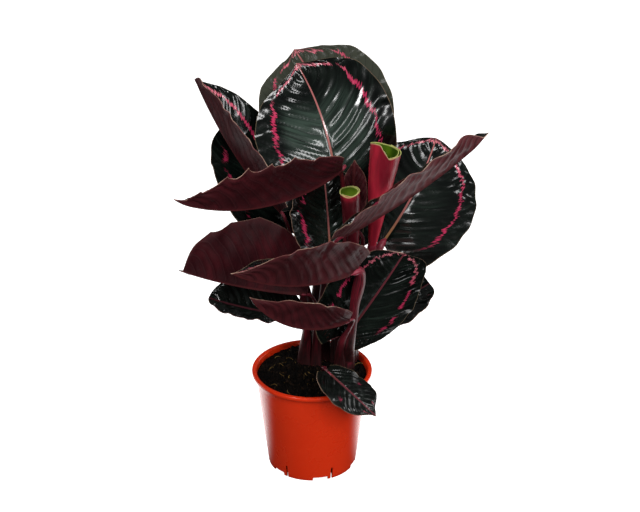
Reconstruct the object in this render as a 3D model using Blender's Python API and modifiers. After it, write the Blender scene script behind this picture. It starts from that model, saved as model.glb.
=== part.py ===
"""Potted calathea: a plastic nursery pot, its soil, sixteen open leaves and two rolled new ones.

Metres, +Z up. The origin is the centre of the pot's standing plane. Every blade is shaped from its
midrib: a curve that starts at the stem's end, with a heading, a pitch and a bend, and two halves
that fold up from it. A leaf's own sizes stand in LEAVES, in millimetres and degrees.
"""

from dataclasses import dataclass
from math import cos, pi, radians, sin

import bmesh
import bpy
from mathutils import Matrix, Vector

MM = 0.001
SEAT_GAP = 0.3 * MM

# Pot
POT_HEIGHT = 105.0 * MM
RIM_RADIUS = 60.0 * MM
RIM_HEIGHT = 4.2 * MM
WALL_TOP_RADIUS = 56.6 * MM
FOOT_RADIUS = 44.2 * MM
WALL = 1.4 * MM
FLOOR_UNDERSIDE = 5.0 * MM
CENTRE_FOOT_RADIUS = 12.0 * MM
POT_STEPS = 40

# Drainage
NOTCH_COUNT = 6
NOTCH_FIRST_ANGLE = radians(-79.0)
NOTCH_WIDTH = 15.0 * MM
NOTCH_HEIGHT = 4.0 * MM
SLOT_TURN = radians(15.0)
SLOT_WIDTH = 2.0 * MM
SLOT_TOP = 14.0 * MM
DRAIN_HOLE_RADIUS = 4.5 * MM
DRAIN_HOLE_CIRCLE = 30.0 * MM

# Soil
SOIL_EDGE_HEIGHT = 97.0 * MM
SOIL_CROWN_HEIGHT = 106.5 * MM
SOCKET_DEPTH = 8.0 * MM
SOCKET_SIDES = 16

# Leaves
BLADE_THICKNESS = 0.8 * MM
BLADE_ROWS = 9
BASE_HALF_WIDTH = 1.3 * MM
TIP_HALF_WIDTH = 0.5 * MM
WIDEST_POWER = 0.85
ROUNDNESS = 0.56
LOBE_START = 0.35
STEM_STEPS = 8
STEM_STEPS_BETWEEN = 4
STEM_END_GAP = 0.85 * MM


@dataclass(frozen=True)
class Leaf:
    """One leaf: where its stem is planted, where its blade starts, and how the blade lies."""

    name: str
    foot: tuple
    base: tuple
    heading: float
    pitch: float
    roll: float
    length: float
    width: float
    bend: float = 0.0
    swing: float = 0.0
    twist: float = 0.0
    fold: tuple = (12.0, 12.0)
    curl: tuple = (0.0, 0.0)
    halves: tuple = (1.0, 1.0)
    point: float = 0.5
    lobe: float = 0.08
    columns: int = 6
    stem: tuple = (2.6, 1.3)
    crook: float = 16.0
    via: tuple = ()


LEAVES = (
    Leaf("crown_back", foot=(12, 34), base=(27, 63, 289), heading=115, pitch=72, roll=15,
         length=144, width=135, bend=-54, swing=4, twist=7, fold=(13, 14), via=((4, 34, 170),)),
    Leaf("crown_front", foot=(13, 24), base=(24, 36, 281), heading=123, pitch=85, roll=25,
         length=143, width=138, bend=-67, swing=-8, twist=10, via=((11, 23, 165),)),
    Leaf("left_folded", foot=(-4, 15), base=(-29, 1, 276), heading=137, pitch=29, roll=-12,
         length=164, width=107, bend=16, swing=-13, twist=3, fold=(51, 15)),
    Leaf("left_upright", foot=(4, 26), base=(-22, 24, 243), heading=122, pitch=51, roll=4,
         length=143, width=116, bend=-23, swing=-8, twist=-6, fold=(10, 12), lobe=0.25),
    Leaf("left_wing", foot=(24, 11), base=(28, -29, 333), heading=215, pitch=-22, roll=-37,
         length=181, width=114, bend=51, swing=-6, twist=-5, fold=(23, 40), halves=(1.0, 0.8),
         lobe=0.04, crook=9.0, via=((34, 11, 235), (31, 10, 288), (28, 5, 316))),
    Leaf("left_round", foot=(4, 2), base=(-5, -23, 200), heading=195, pitch=12, roll=-77,
         length=132, width=133, bend=18, swing=13, fold=(30, 52), curl=(6, 8), halves=(1.0, 0.6),
         point=-0.18, stem=(2.6, 1.1)),
    Leaf("middle_low", foot=(35, 0), base=(42, -45, 236), heading=221, pitch=-2, roll=-44,
         length=144, width=108, bend=34, swing=-14, twist=8, fold=(25, 70), halves=(1.0, 0.6),
         lobe=0.12, crook=12.0, stem=(3.4, 1.3), via=((37, -20, 147), (41, -31, 190))),
    Leaf("front_low", foot=(27, -5), base=(36, -46, 184), heading=210, pitch=-8, roll=-38,
         length=121, width=72, bend=67, swing=-7, fold=(24, 50), halves=(1.0, 0.6),
         lobe=0.04, crook=13.0, stem=(2.6, 1.1), via=((29, -23, 147),)),
    Leaf("left_low", foot=(-8, 6), base=(-15, -9, 168), heading=173, pitch=4, roll=1,
         length=88, width=85, bend=12, twist=15, fold=(21, 21), curl=(6, 5), point=-0.05),
    Leaf("right_wing", foot=(28, 4), base=(30, -39, 270), heading=-10, pitch=34, roll=13,
         length=171, width=86, bend=14, swing=-9, twist=4, fold=(24, 19), curl=(0, -6), point=-0.3,
         via=((25, -8, 200), (19, -25, 238))),
    Leaf("right_face", foot=(37, 29), base=(69, 30, 229), heading=49, pitch=31, roll=-16,
         length=131, width=132, bend=6, swing=19, fold=(5, 2), curl=(-5, -7), point=0.1, lobe=0.3,
         crook=10.0),
    Leaf("right_low", foot=(36, 8), base=(34, -13, 149), heading=3, pitch=56, roll=-114,
         length=106, width=114, bend=6, swing=-12, twist=-3, fold=(6, 2), curl=(2, -4),
         halves=(1.0, 0.86), point=-0.34, lobe=0.2, crook=6.0, stem=(2.6, 1.1)),
    Leaf("right_back", foot=(43, 22), base=(61, 46, 130), heading=17, pitch=40, roll=0,
         length=72, width=80, bend=-20, swing=4, twist=-7, fold=(17, 6), halves=(1.25, 1.0),
         point=-0.2, columns=4,
         stem=(2.2, 1.4)),
    Leaf("rim_drooper", foot=(13, -17), base=(14, -37, 124), heading=-40, pitch=-22, roll=9,
         length=67, width=61, bend=-12, swing=10, twist=-10, fold=(3, 4), curl=(-7, -6),
         columns=4, crook=6.0, stem=(1.8, 1.2)),
    Leaf("centre_inner", foot=(13, 14), base=(18, 9, 222), heading=108, pitch=83, roll=-21,
         length=99, width=81, bend=-15, twist=16, fold=(15, 12), halves=(1.2, 1.0)),
    Leaf("centre_sliver", foot=(29, 24), base=(39, 11, 264), heading=259, pitch=100, roll=16,
         length=58, width=27, bend=4, fold=(26, 18), columns=4, crook=10.0, stem=(2.0, 1.3),
         via=((50, 18, 236),)),
)


@dataclass(frozen=True)
class RolledLeaf:
    """A new leaf that is still rolled up: a tapered tube, open at its slanted mouth."""

    name: str
    foot: tuple
    bottom: tuple
    top: tuple
    bottom_radius: float
    mouth_radius: float
    slant: float
    stem: tuple = (2.8, 2.6)
    crook: float = 16.0
    via: tuple = ()


ROLLED_LEAVES = (
    RolledLeaf("tall_roll", foot=(39, 15), bottom=(58, 13, 229), top=(69, 11, 335),
               bottom_radius=3.0, mouth_radius=16.5, slant=4.0),
    RolledLeaf("short_roll", foot=(31, 16), bottom=(42, 3, 222), top=(36, -3, 299),
               bottom_radius=3.0, mouth_radius=10.5, slant=2.5),
)


def clear_scene():
    """Remove what the scene starts with."""
    for obj in list(bpy.data.objects):
        bpy.data.objects.remove(obj)


def new_collection(name):
    """Return a new collection linked to the scene."""
    collection = bpy.data.collections.new(name)
    bpy.context.scene.collection.children.link(collection)
    return collection


def material(name, colour, roughness, metallic=0.0):
    """Return the Principled material of that name, made once."""
    found = bpy.data.materials.get(name)
    if found:
        return found
    made = bpy.data.materials.new(name)
    made.use_nodes = True
    shader = made.node_tree.nodes["Principled BSDF"]
    shader.inputs["Base Color"].default_value = (*colour, 1.0)
    shader.inputs["Roughness"].default_value = roughness
    shader.inputs["Metallic"].default_value = metallic
    return made


def add_object(name, data, collection, surface=None):
    """Link an object with that data, and give it its material."""
    obj = bpy.data.objects.new(name, data)
    collection.objects.link(obj)
    if surface:
        data.materials.append(surface)
    return obj


def make_cutter(obj):
    """Keep a cutting body out of what is shown."""
    obj.hide_render = True
    obj.display_type = "WIRE"


def cut(obj, cutter):
    """Cut one body from another."""
    modifier = obj.modifiers.new("cut_" + cutter.name, "BOOLEAN")
    modifier.operation = "DIFFERENCE"
    modifier.solver = "EXACT"
    modifier.object = cutter


def turned(name, profile, collection, surface):
    """Turn a profile of (radius, height) points, inner side up and outer side down, about Z."""
    mesh = bpy.data.meshes.new(name)
    bm = bmesh.new()
    verts = [bm.verts.new((radius, 0.0, height)) for radius, height in profile]
    for start, end in zip(verts, verts[1:]):
        bm.edges.new((start, end))
    bm.to_mesh(mesh)
    bm.free()
    obj = add_object(name, mesh, collection, surface)
    screw = obj.modifiers.new("turn", "SCREW")
    screw.axis = "Z"
    screw.steps = POT_STEPS
    screw.render_steps = POT_STEPS
    screw.use_merge_vertices = True
    screw.merge_threshold = 0.00005
    screw.use_smooth_shade = True
    return obj


def inner_wall_radius(height):
    """Return the pot's inner radius at a height above the standing plane."""
    slope = (WALL_TOP_RADIUS - FOOT_RADIUS) / POT_HEIGHT
    return FOOT_RADIUS - WALL + slope * height


def pot_profile():
    """Return the pot's outline: up its inside, over the rim, down its outside, across its feet."""
    floor = FLOOR_UNDERSIDE + WALL
    rim_underside = POT_HEIGHT - RIM_HEIGHT
    slope = (WALL_TOP_RADIUS - FOOT_RADIUS) / POT_HEIGHT
    foot_inner = FOOT_RADIUS - 1.3 * WALL
    dish = 1.5 * MM
    return [
        (0.0, WALL),
        (CENTRE_FOOT_RADIUS - 0.5 * WALL, WALL),
        (CENTRE_FOOT_RADIUS + dish - 0.5 * WALL, floor),
        (inner_wall_radius(floor) - 1.0 * MM, floor),
        (inner_wall_radius(floor + 1.0 * MM), floor + 1.0 * MM),
        (inner_wall_radius(POT_HEIGHT), POT_HEIGHT - 0.8 * MM),
        (inner_wall_radius(POT_HEIGHT) + 0.8 * MM, POT_HEIGHT),
        (RIM_RADIUS - 1.2 * MM, POT_HEIGHT),
        (RIM_RADIUS - 0.2 * MM, POT_HEIGHT - 0.8 * MM),
        (RIM_RADIUS, POT_HEIGHT - 2.0 * MM),
        (RIM_RADIUS - 0.4 * MM, rim_underside),
        (FOOT_RADIUS + slope * rim_underside, rim_underside - 0.6 * MM),
        (FOOT_RADIUS + slope * 1.0 * MM, 1.0 * MM),
        (FOOT_RADIUS - 0.6 * MM, 0.0),
        (foot_inner, 0.0),
        (foot_inner, FLOOR_UNDERSIDE),
        (CENTRE_FOOT_RADIUS + dish, FLOOR_UNDERSIDE),
        (CENTRE_FOOT_RADIUS, 0.0),
        (0.0, 0.0),
    ]


def drainage_cutter(collection):
    """Return the foot notches, the corner slots and the floor holes as one cutting body."""
    mesh = bpy.data.meshes.new("drainage")
    bm = bmesh.new()
    through_foot = 8.0 * MM
    below = 1.0 * MM
    for index in range(NOTCH_COUNT):
        angle = NOTCH_FIRST_ANGLE + index * 2.0 * pi / NOTCH_COUNT
        for turn, wide, top in ((0.0, NOTCH_WIDTH, NOTCH_HEIGHT), (SLOT_TURN, SLOT_WIDTH, SLOT_TOP)):
            place = (
                Matrix.Rotation(angle + turn, 4, "Z")
                @ Matrix.Translation((FOOT_RADIUS - 0.5 * MM, 0.0, (top - below) / 2.0))
                @ Matrix.Diagonal((through_foot, wide, top + below, 1.0))
            )
            bmesh.ops.create_cube(bm, size=1.0, matrix=place)
        hole = Matrix.Rotation(angle + pi / NOTCH_COUNT, 4, "Z") @ Matrix.Translation(
            (DRAIN_HOLE_CIRCLE, 0.0, FLOOR_UNDERSIDE))
        bmesh.ops.create_cone(bm, cap_ends=True, segments=16, radius1=DRAIN_HOLE_RADIUS,
                              radius2=DRAIN_HOLE_RADIUS, depth=6.0 * MM, matrix=hole)
    bm.to_mesh(mesh)
    bm.free()
    obj = add_object("drainage", mesh, collection)
    make_cutter(obj)
    return obj


def build_pot(parts, cutters):
    """Turn the pot, and cut its drainage."""
    plastic = material("pot_plastic", (0.55, 0.035, 0.008), 0.35)
    pot = turned("pot", pot_profile(), parts, plastic)
    cut(pot, drainage_cutter(cutters))
    return pot


def soil_height(radius):
    """Return the height of the soil's gently domed top."""
    full = inner_wall_radius(SOIL_EDGE_HEIGHT)
    return SOIL_EDGE_HEIGHT + (SOIL_CROWN_HEIGHT - SOIL_EDGE_HEIGHT) * (1.0 - (radius / full) ** 2)


def soil_profile():
    """Return the soil's outline: its domed top from the middle outwards, then down the wall."""
    clear = SEAT_GAP + 0.1 * MM
    bottom = FLOOR_UNDERSIDE + WALL + clear
    edge = inner_wall_radius(SOIL_EDGE_HEIGHT) - clear
    rings = 4
    dome = [(edge * ring / rings, soil_height(edge * ring / rings)) for ring in range(rings + 1)]
    return dome + [
        (inner_wall_radius(bottom + 2.0 * MM) - clear, bottom + 2.0 * MM),
        (inner_wall_radius(bottom) - clear - 2.0 * MM, bottom),
        (0.0, bottom),
    ]


def foot_bottom(foot):
    """Return the height at which a planted stem ends in the soil."""
    reach = (foot[0] ** 2 + foot[1] ** 2) ** 0.5 * MM
    return soil_height(reach) - SOCKET_DEPTH


def socket_cutter(planted, collection):
    """Return one cutting body with a socket for each planted stem."""
    mesh = bpy.data.meshes.new("sockets")
    bm = bmesh.new()
    for leaf in planted:
        radius = leaf.stem[0] * MM + 1.4 * SEAT_GAP
        low = foot_bottom(leaf.foot) - SEAT_GAP
        high = SOIL_CROWN_HEIGHT + 4.0 * MM
        place = Matrix.Translation((leaf.foot[0] * MM, leaf.foot[1] * MM, (low + high) / 2.0))
        bmesh.ops.create_cone(bm, cap_ends=True, segments=SOCKET_SIDES, radius1=radius,
                              radius2=radius, depth=high - low, matrix=place)
    bm.to_mesh(mesh)
    bm.free()
    obj = add_object("sockets", mesh, collection)
    make_cutter(obj)
    return obj


def build_soil(planted, parts, cutters):
    """Turn the soil, and open a socket in it for each stem."""
    earth = material("soil_mix", (0.012, 0.009, 0.006), 0.95)
    soil = turned("soil", soil_profile(), parts, earth)
    cut(soil, socket_cutter(planted, cutters))
    return soil


def ease(start, end, value):
    """Return a smooth rise from 0 to 1 between start and end."""
    share = min(max((value - start) / (end - start), 0.0), 1.0)
    return share * share * (3.0 - 2.0 * share)


def half_width(leaf, along):
    """Return the distance from midrib to margin, in metres, at a share of the length."""
    power = ROUNDNESS + leaf.point * ease(0.72, 1.0, along)
    full = leaf.width * MM / 2.0
    wide = full * max(sin(pi * along ** WIDEST_POWER), 0.0) ** power
    return max(wide, BASE_HALF_WIDTH if along < 0.5 else TIP_HALF_WIDTH)


def midrib_direction(leaf, along):
    """Return the unit direction of the midrib at a share of its length."""
    heading = radians(leaf.heading + leaf.swing * along)
    pitch = radians(leaf.pitch + leaf.bend * along)
    return Vector((cos(heading) * cos(pitch), sin(heading) * cos(pitch), sin(pitch)))


def midrib_point(leaf, along):
    """Return the point of the midrib at a share of its length."""
    steps = 24
    step = along / steps
    point = Vector(leaf.base) * MM
    for index in range(steps):
        point += midrib_direction(leaf, (index + 0.5) * step) * step * leaf.length * MM
    return point


def blade_frame(leaf, along):
    """Return the midrib's direction, the blade's direction to its right, and its upper normal."""
    forward = midrib_direction(leaf, along)
    heading = radians(leaf.heading + leaf.swing * along)
    level = Vector((sin(heading), -cos(heading), 0.0))
    rise = level.cross(forward)
    roll = radians(leaf.roll + leaf.twist * along)
    return forward, level * cos(roll) + rise * sin(roll), rise * cos(roll) - level * sin(roll)


def blade_point(leaf, along, across):
    """Return a point of the blade's middle surface; across runs from -1, left, to 1, right."""
    forward, right, up = blade_frame(leaf, along)
    side = 0 if across < 0.0 else 1
    wide = half_width(leaf, along)
    full = leaf.width * MM / 2.0
    out = abs(across) * wide * leaf.halves[side]
    lift = radians(leaf.fold[side] + leaf.curl[side] * abs(across) / 2.0)
    sideways = right if side else -right
    point = midrib_point(leaf, along) + (sideways * cos(lift) + up * sin(lift)) * out
    opened = min(1.0, wide / (LOBE_START * full)) ** 2
    back = leaf.lobe * leaf.length * MM * (1.0 - along) ** 3 * across ** 2 * opened
    return point - forward * back


def build_blade(leaf, parts):
    """Shape one blade from a grid, and thicken it."""
    mesh = bpy.data.meshes.new("blade_" + leaf.name)
    bm = bmesh.new()
    bmesh.ops.create_grid(bm, x_segments=leaf.columns, y_segments=BLADE_ROWS, size=1.0)
    for vert in bm.verts:
        along = (1.0 - cos(pi * (vert.co.y + 1.0) / 2.0)) / 2.0
        vert.co = blade_point(leaf, along, vert.co.x)
    bm.to_mesh(mesh)
    bm.free()
    mesh.shade_smooth()
    green = material("leaf_upper", (0.008, 0.02, 0.012), 0.3)
    obj = add_object("blade_" + leaf.name, mesh, parts, green)
    corners = obj.modifiers.new("triangles", "TRIANGULATE")
    corners.quad_method = "FIXED"
    skin = obj.modifiers.new("thickness", "SOLIDIFY")
    skin.thickness = BLADE_THICKNESS
    skin.offset = 0.0
    return obj


def stem_route(leaf, end, direction):
    """Return a stem's points: straight out of the soil, past its via points, into the blade."""
    foot = Vector((leaf.foot[0] * MM, leaf.foot[1] * MM, foot_bottom(leaf.foot)))
    out = foot + Vector((0.0, 0.0, SOCKET_DEPTH + 3.0 * MM))
    knots = [out] + [Vector(point) * MM for point in leaf.via] + [end]
    tangents = [Vector((0.0, 0.0, 1.0))]
    for before, after in zip(knots, knots[2:]):
        tangents.append((after - before).normalized())
    tangents.append(direction)
    steps = STEM_STEPS if len(knots) == 2 else STEM_STEPS_BETWEEN
    route = [foot, out]
    for index in range(len(knots) - 1):
        start, stop = knots[index], knots[index + 1]
        reach = (stop - start).length * 0.38
        arrive = leaf.crook * MM if stop is end else reach
        first = start + tangents[index] * reach
        second = stop - tangents[index + 1] * arrive
        for step in range(1, steps + 1):
            share = step / steps
            rest = 1.0 - share
            route.append(start * rest ** 3 + first * 3.0 * rest ** 2 * share
                         + second * 3.0 * rest * share ** 2 + stop * share ** 3)
    return route


def build_stem(leaf, end, direction, parts):
    """Run a tapered round stem from its socket to just short of its blade."""
    route = stem_route(leaf, end - direction * STEM_END_GAP, direction)
    curve = bpy.data.curves.new("stem_" + leaf.name, "CURVE")
    curve.dimensions = "3D"
    curve.bevel_depth = MM
    curve.bevel_resolution = 1
    curve.use_fill_caps = True
    spline = curve.splines.new("POLY")
    spline.points.add(len(route) - 1)
    for index, point in enumerate(route):
        share = max(index - 1, 0) / (len(route) - 2)
        spline.points[index].co = (*point, 1.0)
        spline.points[index].radius = leaf.stem[0] + (leaf.stem[1] - leaf.stem[0]) * share
    red = material("stem_red", (0.10, 0.008, 0.015), 0.4)
    return add_object("stem_" + leaf.name, curve, parts, red)


def build_rolled_blade(leaf, parts):
    """Shape one rolled blade: an open tapered tube with a slanted mouth, leaning on its axis."""
    bottom = Vector(leaf.bottom) * MM
    axis = Vector(leaf.top) * MM - bottom
    mesh = bpy.data.meshes.new("blade_" + leaf.name)
    bm = bmesh.new()
    sides = 16
    bmesh.ops.create_cone(bm, cap_ends=False, segments=sides, radius1=leaf.bottom_radius * MM,
                          radius2=leaf.mouth_radius * MM, depth=axis.length)
    for vert in bm.verts:
        if vert.co.z > 0.0:
            vert.co.z += leaf.slant * MM * vert.co.y / (leaf.mouth_radius * MM)
    bmesh.ops.translate(bm, verts=bm.verts, vec=(0.0, 0.0, axis.length / 2.0))
    bm.to_mesh(mesh)
    bm.free()
    mesh.shade_smooth()
    crimson = material("leaf_under", (0.12, 0.01, 0.02), 0.35)
    obj = add_object("blade_" + leaf.name, mesh, parts, crimson)
    obj.location = bottom
    obj.rotation_euler = Vector((0.0, 0.0, 1.0)).rotation_difference(axis).to_euler()
    skin = obj.modifiers.new("thickness", "SOLIDIFY")
    skin.thickness = BLADE_THICKNESS
    skin.offset = 1.0
    return obj


def main():
    """Build the pot, the soil and every leaf."""
    clear_scene()
    parts = new_collection("potted_calathea")
    cutters = new_collection("cutters")
    build_pot(parts, cutters)
    build_soil(LEAVES + ROLLED_LEAVES, parts, cutters)
    for leaf in LEAVES:
        build_blade(leaf, parts)
        build_stem(leaf, Vector(leaf.base) * MM, midrib_direction(leaf, 0.0), parts)
    for leaf in ROLLED_LEAVES:
        axis = (Vector(leaf.top) - Vector(leaf.bottom)).normalized()
        build_rolled_blade(leaf, parts)
        build_stem(leaf, Vector(leaf.bottom) * MM, axis, parts)


main()
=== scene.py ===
"""The potted calathea in detail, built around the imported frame.

Metres, +Z up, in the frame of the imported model. Each leaf is grown again from its midrib, with its
veins, ripples and waves; the stems, the pot and the soil follow, and every finish is made of nodes.
"""

from __future__ import annotations

import logging
import math
import random
from contextlib import contextmanager
from dataclasses import dataclass
from enum import Enum
from typing import Callable, Iterator

import bpy
import numpy as np
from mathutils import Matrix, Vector


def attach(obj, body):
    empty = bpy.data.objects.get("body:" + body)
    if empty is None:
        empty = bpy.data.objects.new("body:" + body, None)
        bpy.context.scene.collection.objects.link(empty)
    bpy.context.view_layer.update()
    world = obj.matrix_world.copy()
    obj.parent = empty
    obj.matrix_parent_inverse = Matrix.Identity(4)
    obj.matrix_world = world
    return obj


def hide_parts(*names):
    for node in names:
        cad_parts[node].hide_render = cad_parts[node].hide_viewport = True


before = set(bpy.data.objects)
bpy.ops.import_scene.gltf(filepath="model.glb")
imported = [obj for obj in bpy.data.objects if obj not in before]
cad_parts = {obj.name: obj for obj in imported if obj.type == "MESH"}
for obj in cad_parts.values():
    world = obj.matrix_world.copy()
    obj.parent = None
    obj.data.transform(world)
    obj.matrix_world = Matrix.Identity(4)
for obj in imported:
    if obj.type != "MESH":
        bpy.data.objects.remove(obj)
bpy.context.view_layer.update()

LOG = logging.getLogger("calathea")
MM = 0.001
TURN = 2.0 * math.pi
STALK_FOOT = 96.0
STALK_OUT = 108.0
DRIFT_WAVES = 6
ROOT = "root"

Pair = tuple[float, float]
Triple = tuple[float, float, float]
Colour = tuple[float, float, float, float]
Piece = bpy.types.Object


class Skin(Enum):
    """The order of the materials on a blade."""

    UPPER = 0
    UNDER = 1
    RIM = 2


def srgb(red: float, green: float, blue: float) -> Colour:
    """Turn a screen colour into the linear colour that a shader takes.

    Args:
        red: Red, 0 to 255.
        green: Green, 0 to 255.
        blue: Blue, 0 to 255.

    Returns:
        The linear colour, opaque.
    """
    shares = (value / 255.0 for value in (red, green, blue))
    linear = (s / 12.92 if s <= 0.04045 else ((s + 0.055) / 1.055) ** 2.4 for s in shares)
    return (*linear, 1.0)


def smooth(start: float, end: float, values: np.ndarray) -> np.ndarray:
    """Rise smoothly from 0 at start to 1 at end."""
    share = np.clip((values - start) / (end - start), 0.0, 1.0)
    return share * share * (3.0 - 2.0 * share)


def bell(values: np.ndarray, middle: float, width: float) -> np.ndarray:
    """Return a bell curve: 1 at its middle, 0.37 at its width from there."""
    return np.exp(-(((values - middle) / width) ** 2))


def unit(vectors: np.ndarray, spare: float = 0.0) -> np.ndarray:
    """Scale vectors to a length of one. A little spare length guards one that may be empty."""
    return vectors / (np.linalg.norm(vectors, axis=-1, keepdims=True) + spare)


def drift(along: np.ndarray, across: np.ndarray, seed: int) -> np.ndarray:
    """Return slow irregular waves over a surface, from about -1 to 1.

    Args:
        along: First coordinate, any shape.
        across: Second coordinate, the same shape.
        seed: Chooses the waves.

    Returns:
        The height of the waves at each point.
    """
    draw = random.Random(seed)
    total = np.zeros_like(along)
    for _ in range(DRIFT_WAVES):
        first = draw.uniform(2.0, 7.0)
        second = draw.uniform(-5.0, 5.0)
        total += np.sin(first * along * 2.2 + second * across + draw.uniform(0.0, 6.28))
    return total / 3.5


# ---------------------------------------------------------------- modelling helpers


def deselect() -> None:
    """Clear the selection, so that an operator acts on the new piece alone."""
    if bpy.context.object and bpy.context.object.mode != "OBJECT":
        bpy.ops.object.mode_set(mode="OBJECT")
    bpy.ops.object.select_all(action="DESELECT")


def take(*pieces: Piece) -> None:
    """Select some pieces and make the first one active.

    Args:
        *pieces: The pieces to work on.
    """
    deselect()
    for piece in pieces:
        piece.select_set(True)
    bpy.context.view_layer.objects.active = pieces[0]


def settle(piece: Piece) -> None:
    """Move a piece's place, turn and scale into its mesh."""
    take(piece)
    bpy.ops.object.transform_apply(location=True, rotation=True, scale=True)


def add(operator: Callable, name: str, **sizes: object) -> Piece:
    """Add a primitive, name it and settle it.

    Args:
        operator: The operator that adds it.
        name: The name of the piece and its mesh.
        **sizes: The operator's settings, in metres.

    Returns:
        The new piece.
    """
    deselect()
    operator(**sizes)
    piece = bpy.context.object
    piece.name = piece.data.name = name
    settle(piece)
    return piece


@contextmanager
def editing(piece: Piece, action: str | None = "SELECT") -> Iterator[None]:
    """Open a piece in edit mode, and close it again afterwards.

    Args:
        piece: The piece to edit.
        action: What to do to the selection first.

    Yields:
        Nothing.
    """
    take(piece)
    bpy.ops.object.mode_set(mode="EDIT")
    if action:
        bpy.ops.mesh.select_all(action=action)
    yield
    bpy.ops.object.mode_set(mode="OBJECT")


def modify(piece: Piece, kind: str, **settings: object) -> None:
    """Add a modifier to a piece and apply it.

    Args:
        piece: The piece to change.
        kind: The modifier's type.
        **settings: Its settings.
    """
    made = piece.modifiers.new(kind.lower(), kind)
    for key, value in settings.items():
        setattr(made, key, value)
    take(piece)
    bpy.ops.object.modifier_apply(modifier=made.name)


def shade(piece: Piece, degrees: float) -> None:
    """Shade a piece smooth, apart from edges that turn by more than an angle."""
    take(piece)
    bpy.ops.object.shade_smooth_by_angle(angle=math.radians(degrees))


def dress(piece: Piece, *materials: bpy.types.Material) -> None:
    """Give a piece its materials, in order."""
    piece.data.materials.clear()
    for material in materials:
        piece.data.materials.append(material)


def copied(piece: Piece) -> Piece:
    """Copy a piece with a mesh of its own.

    Args:
        piece: The piece to copy.

    Returns:
        The copy, in the scene.
    """
    copy = piece.copy()
    copy.data = piece.data.copy()
    bpy.context.scene.collection.objects.link(copy)
    return copy


def joined(pieces: list[Piece], pattern: Piece) -> Piece:
    """Join the copies of a piece into one that takes its name, and remove the piece.

    Args:
        pieces: The copies.
        pattern: The piece that they were copied from.

    Returns:
        The joined piece.
    """
    name = pattern.name
    bpy.data.objects.remove(pattern)
    take(*pieces)
    bpy.ops.object.join()
    piece = bpy.context.object
    piece.name = piece.data.name = name
    return piece


def coordinates(piece: Piece) -> np.ndarray:
    """Read a mesh's points.

    Args:
        piece: The piece to read.

    Returns:
        One row of x, y, z per vertex.
    """
    points = np.zeros(len(piece.data.vertices) * 3)
    piece.data.vertices.foreach_get("co", points)
    return points.reshape(-1, 3)


def place(piece: Piece, points: np.ndarray) -> None:
    """Write a mesh's points."""
    piece.data.vertices.foreach_set("co", points.ravel())
    piece.data.update()


def note(piece: Piece, name: str, *parts: np.ndarray | float) -> None:
    """Store a vector at each vertex for the finishes to read.

    Args:
        piece: The piece that carries it.
        name: The attribute's name.
        *parts: Its three parts, each a number or one number per vertex.
    """
    blank = np.zeros(len(piece.data.vertices))
    values = np.stack([blank + part for part in parts], axis=1).astype(np.float32)
    attribute = piece.data.attributes.new(name, "FLOAT_VECTOR", "POINT")
    attribute.data.foreach_set("vector", values.ravel())


def outward(piece: Piece) -> None:
    """Merge doubles and point all faces outwards."""
    with editing(piece):
        bpy.ops.mesh.remove_doubles(threshold=0.01 * MM)
        bpy.ops.mesh.normals_make_consistent(inside=False)


def long_cylinder(name: str, sides: int, rings: int) -> Piece:
    """Add a unit cylinder from z = 0 to z = 1 whose long edges are cut into rings.

    Args:
        name: The piece's name.
        sides: Number of sides.
        rings: Number of cuts along it.

    Returns:
        The new piece, centred on Z.
    """
    piece = add(bpy.ops.mesh.primitive_cylinder_add, name, vertices=sides, radius=1.0, depth=1.0,
                location=(0.0, 0.0, 0.5), end_fill_type="TRIFAN")
    with editing(piece, "DESELECT"):
        bpy.ops.mesh.select_mode(type="EDGE")
    heights = coordinates(piece)[:, 2]
    for edge in piece.data.edges:
        low, high = edge.vertices
        edge.select = abs(heights[low] - heights[high]) > 0.5
    with editing(piece, None):
        bpy.ops.mesh.subdivide(number_cuts=rings)
    return piece


def sweep(points: np.ndarray, route: np.ndarray, shape: Callable,
          facing: Triple = (0.0, 1.0, 0.0)) -> np.ndarray:
    """Bend a unit cylinder's points along a route.

    Args:
        points: The cylinder's points; z from 0 to 1 becomes the share of the route's length.
        route: The route's points, at least three.
        shape: Gives the two radii at shares of the length, as two arrays.
        facing: The way that the first radius is square to.

    Returns:
        The bent points.
    """
    steps = np.linalg.norm(np.diff(route, axis=0), axis=1)
    share = np.concatenate([[0.0], np.cumsum(steps)]) / steps.sum()
    tangents = unit(np.gradient(route, axis=0))
    side = np.cross(tangents[0], facing)
    sides = []
    for tangent in tangents:
        side = unit(side - tangent * side.dot(tangent))
        sides.append(side)
    depths = np.cross(tangents, sides)
    at = points[:, 2]
    middle, across, deep = (
        np.stack([np.interp(at, share, values[:, axis]) for axis in range(3)], axis=1)
        for values in (route, np.array(sides), depths))
    width, depth = shape(at)
    return middle + across * (points[:, 0] * width)[:, None] + deep * (points[:, 1] * depth)[:, None]


# ---------------------------------------------------------------- node helpers


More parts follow.
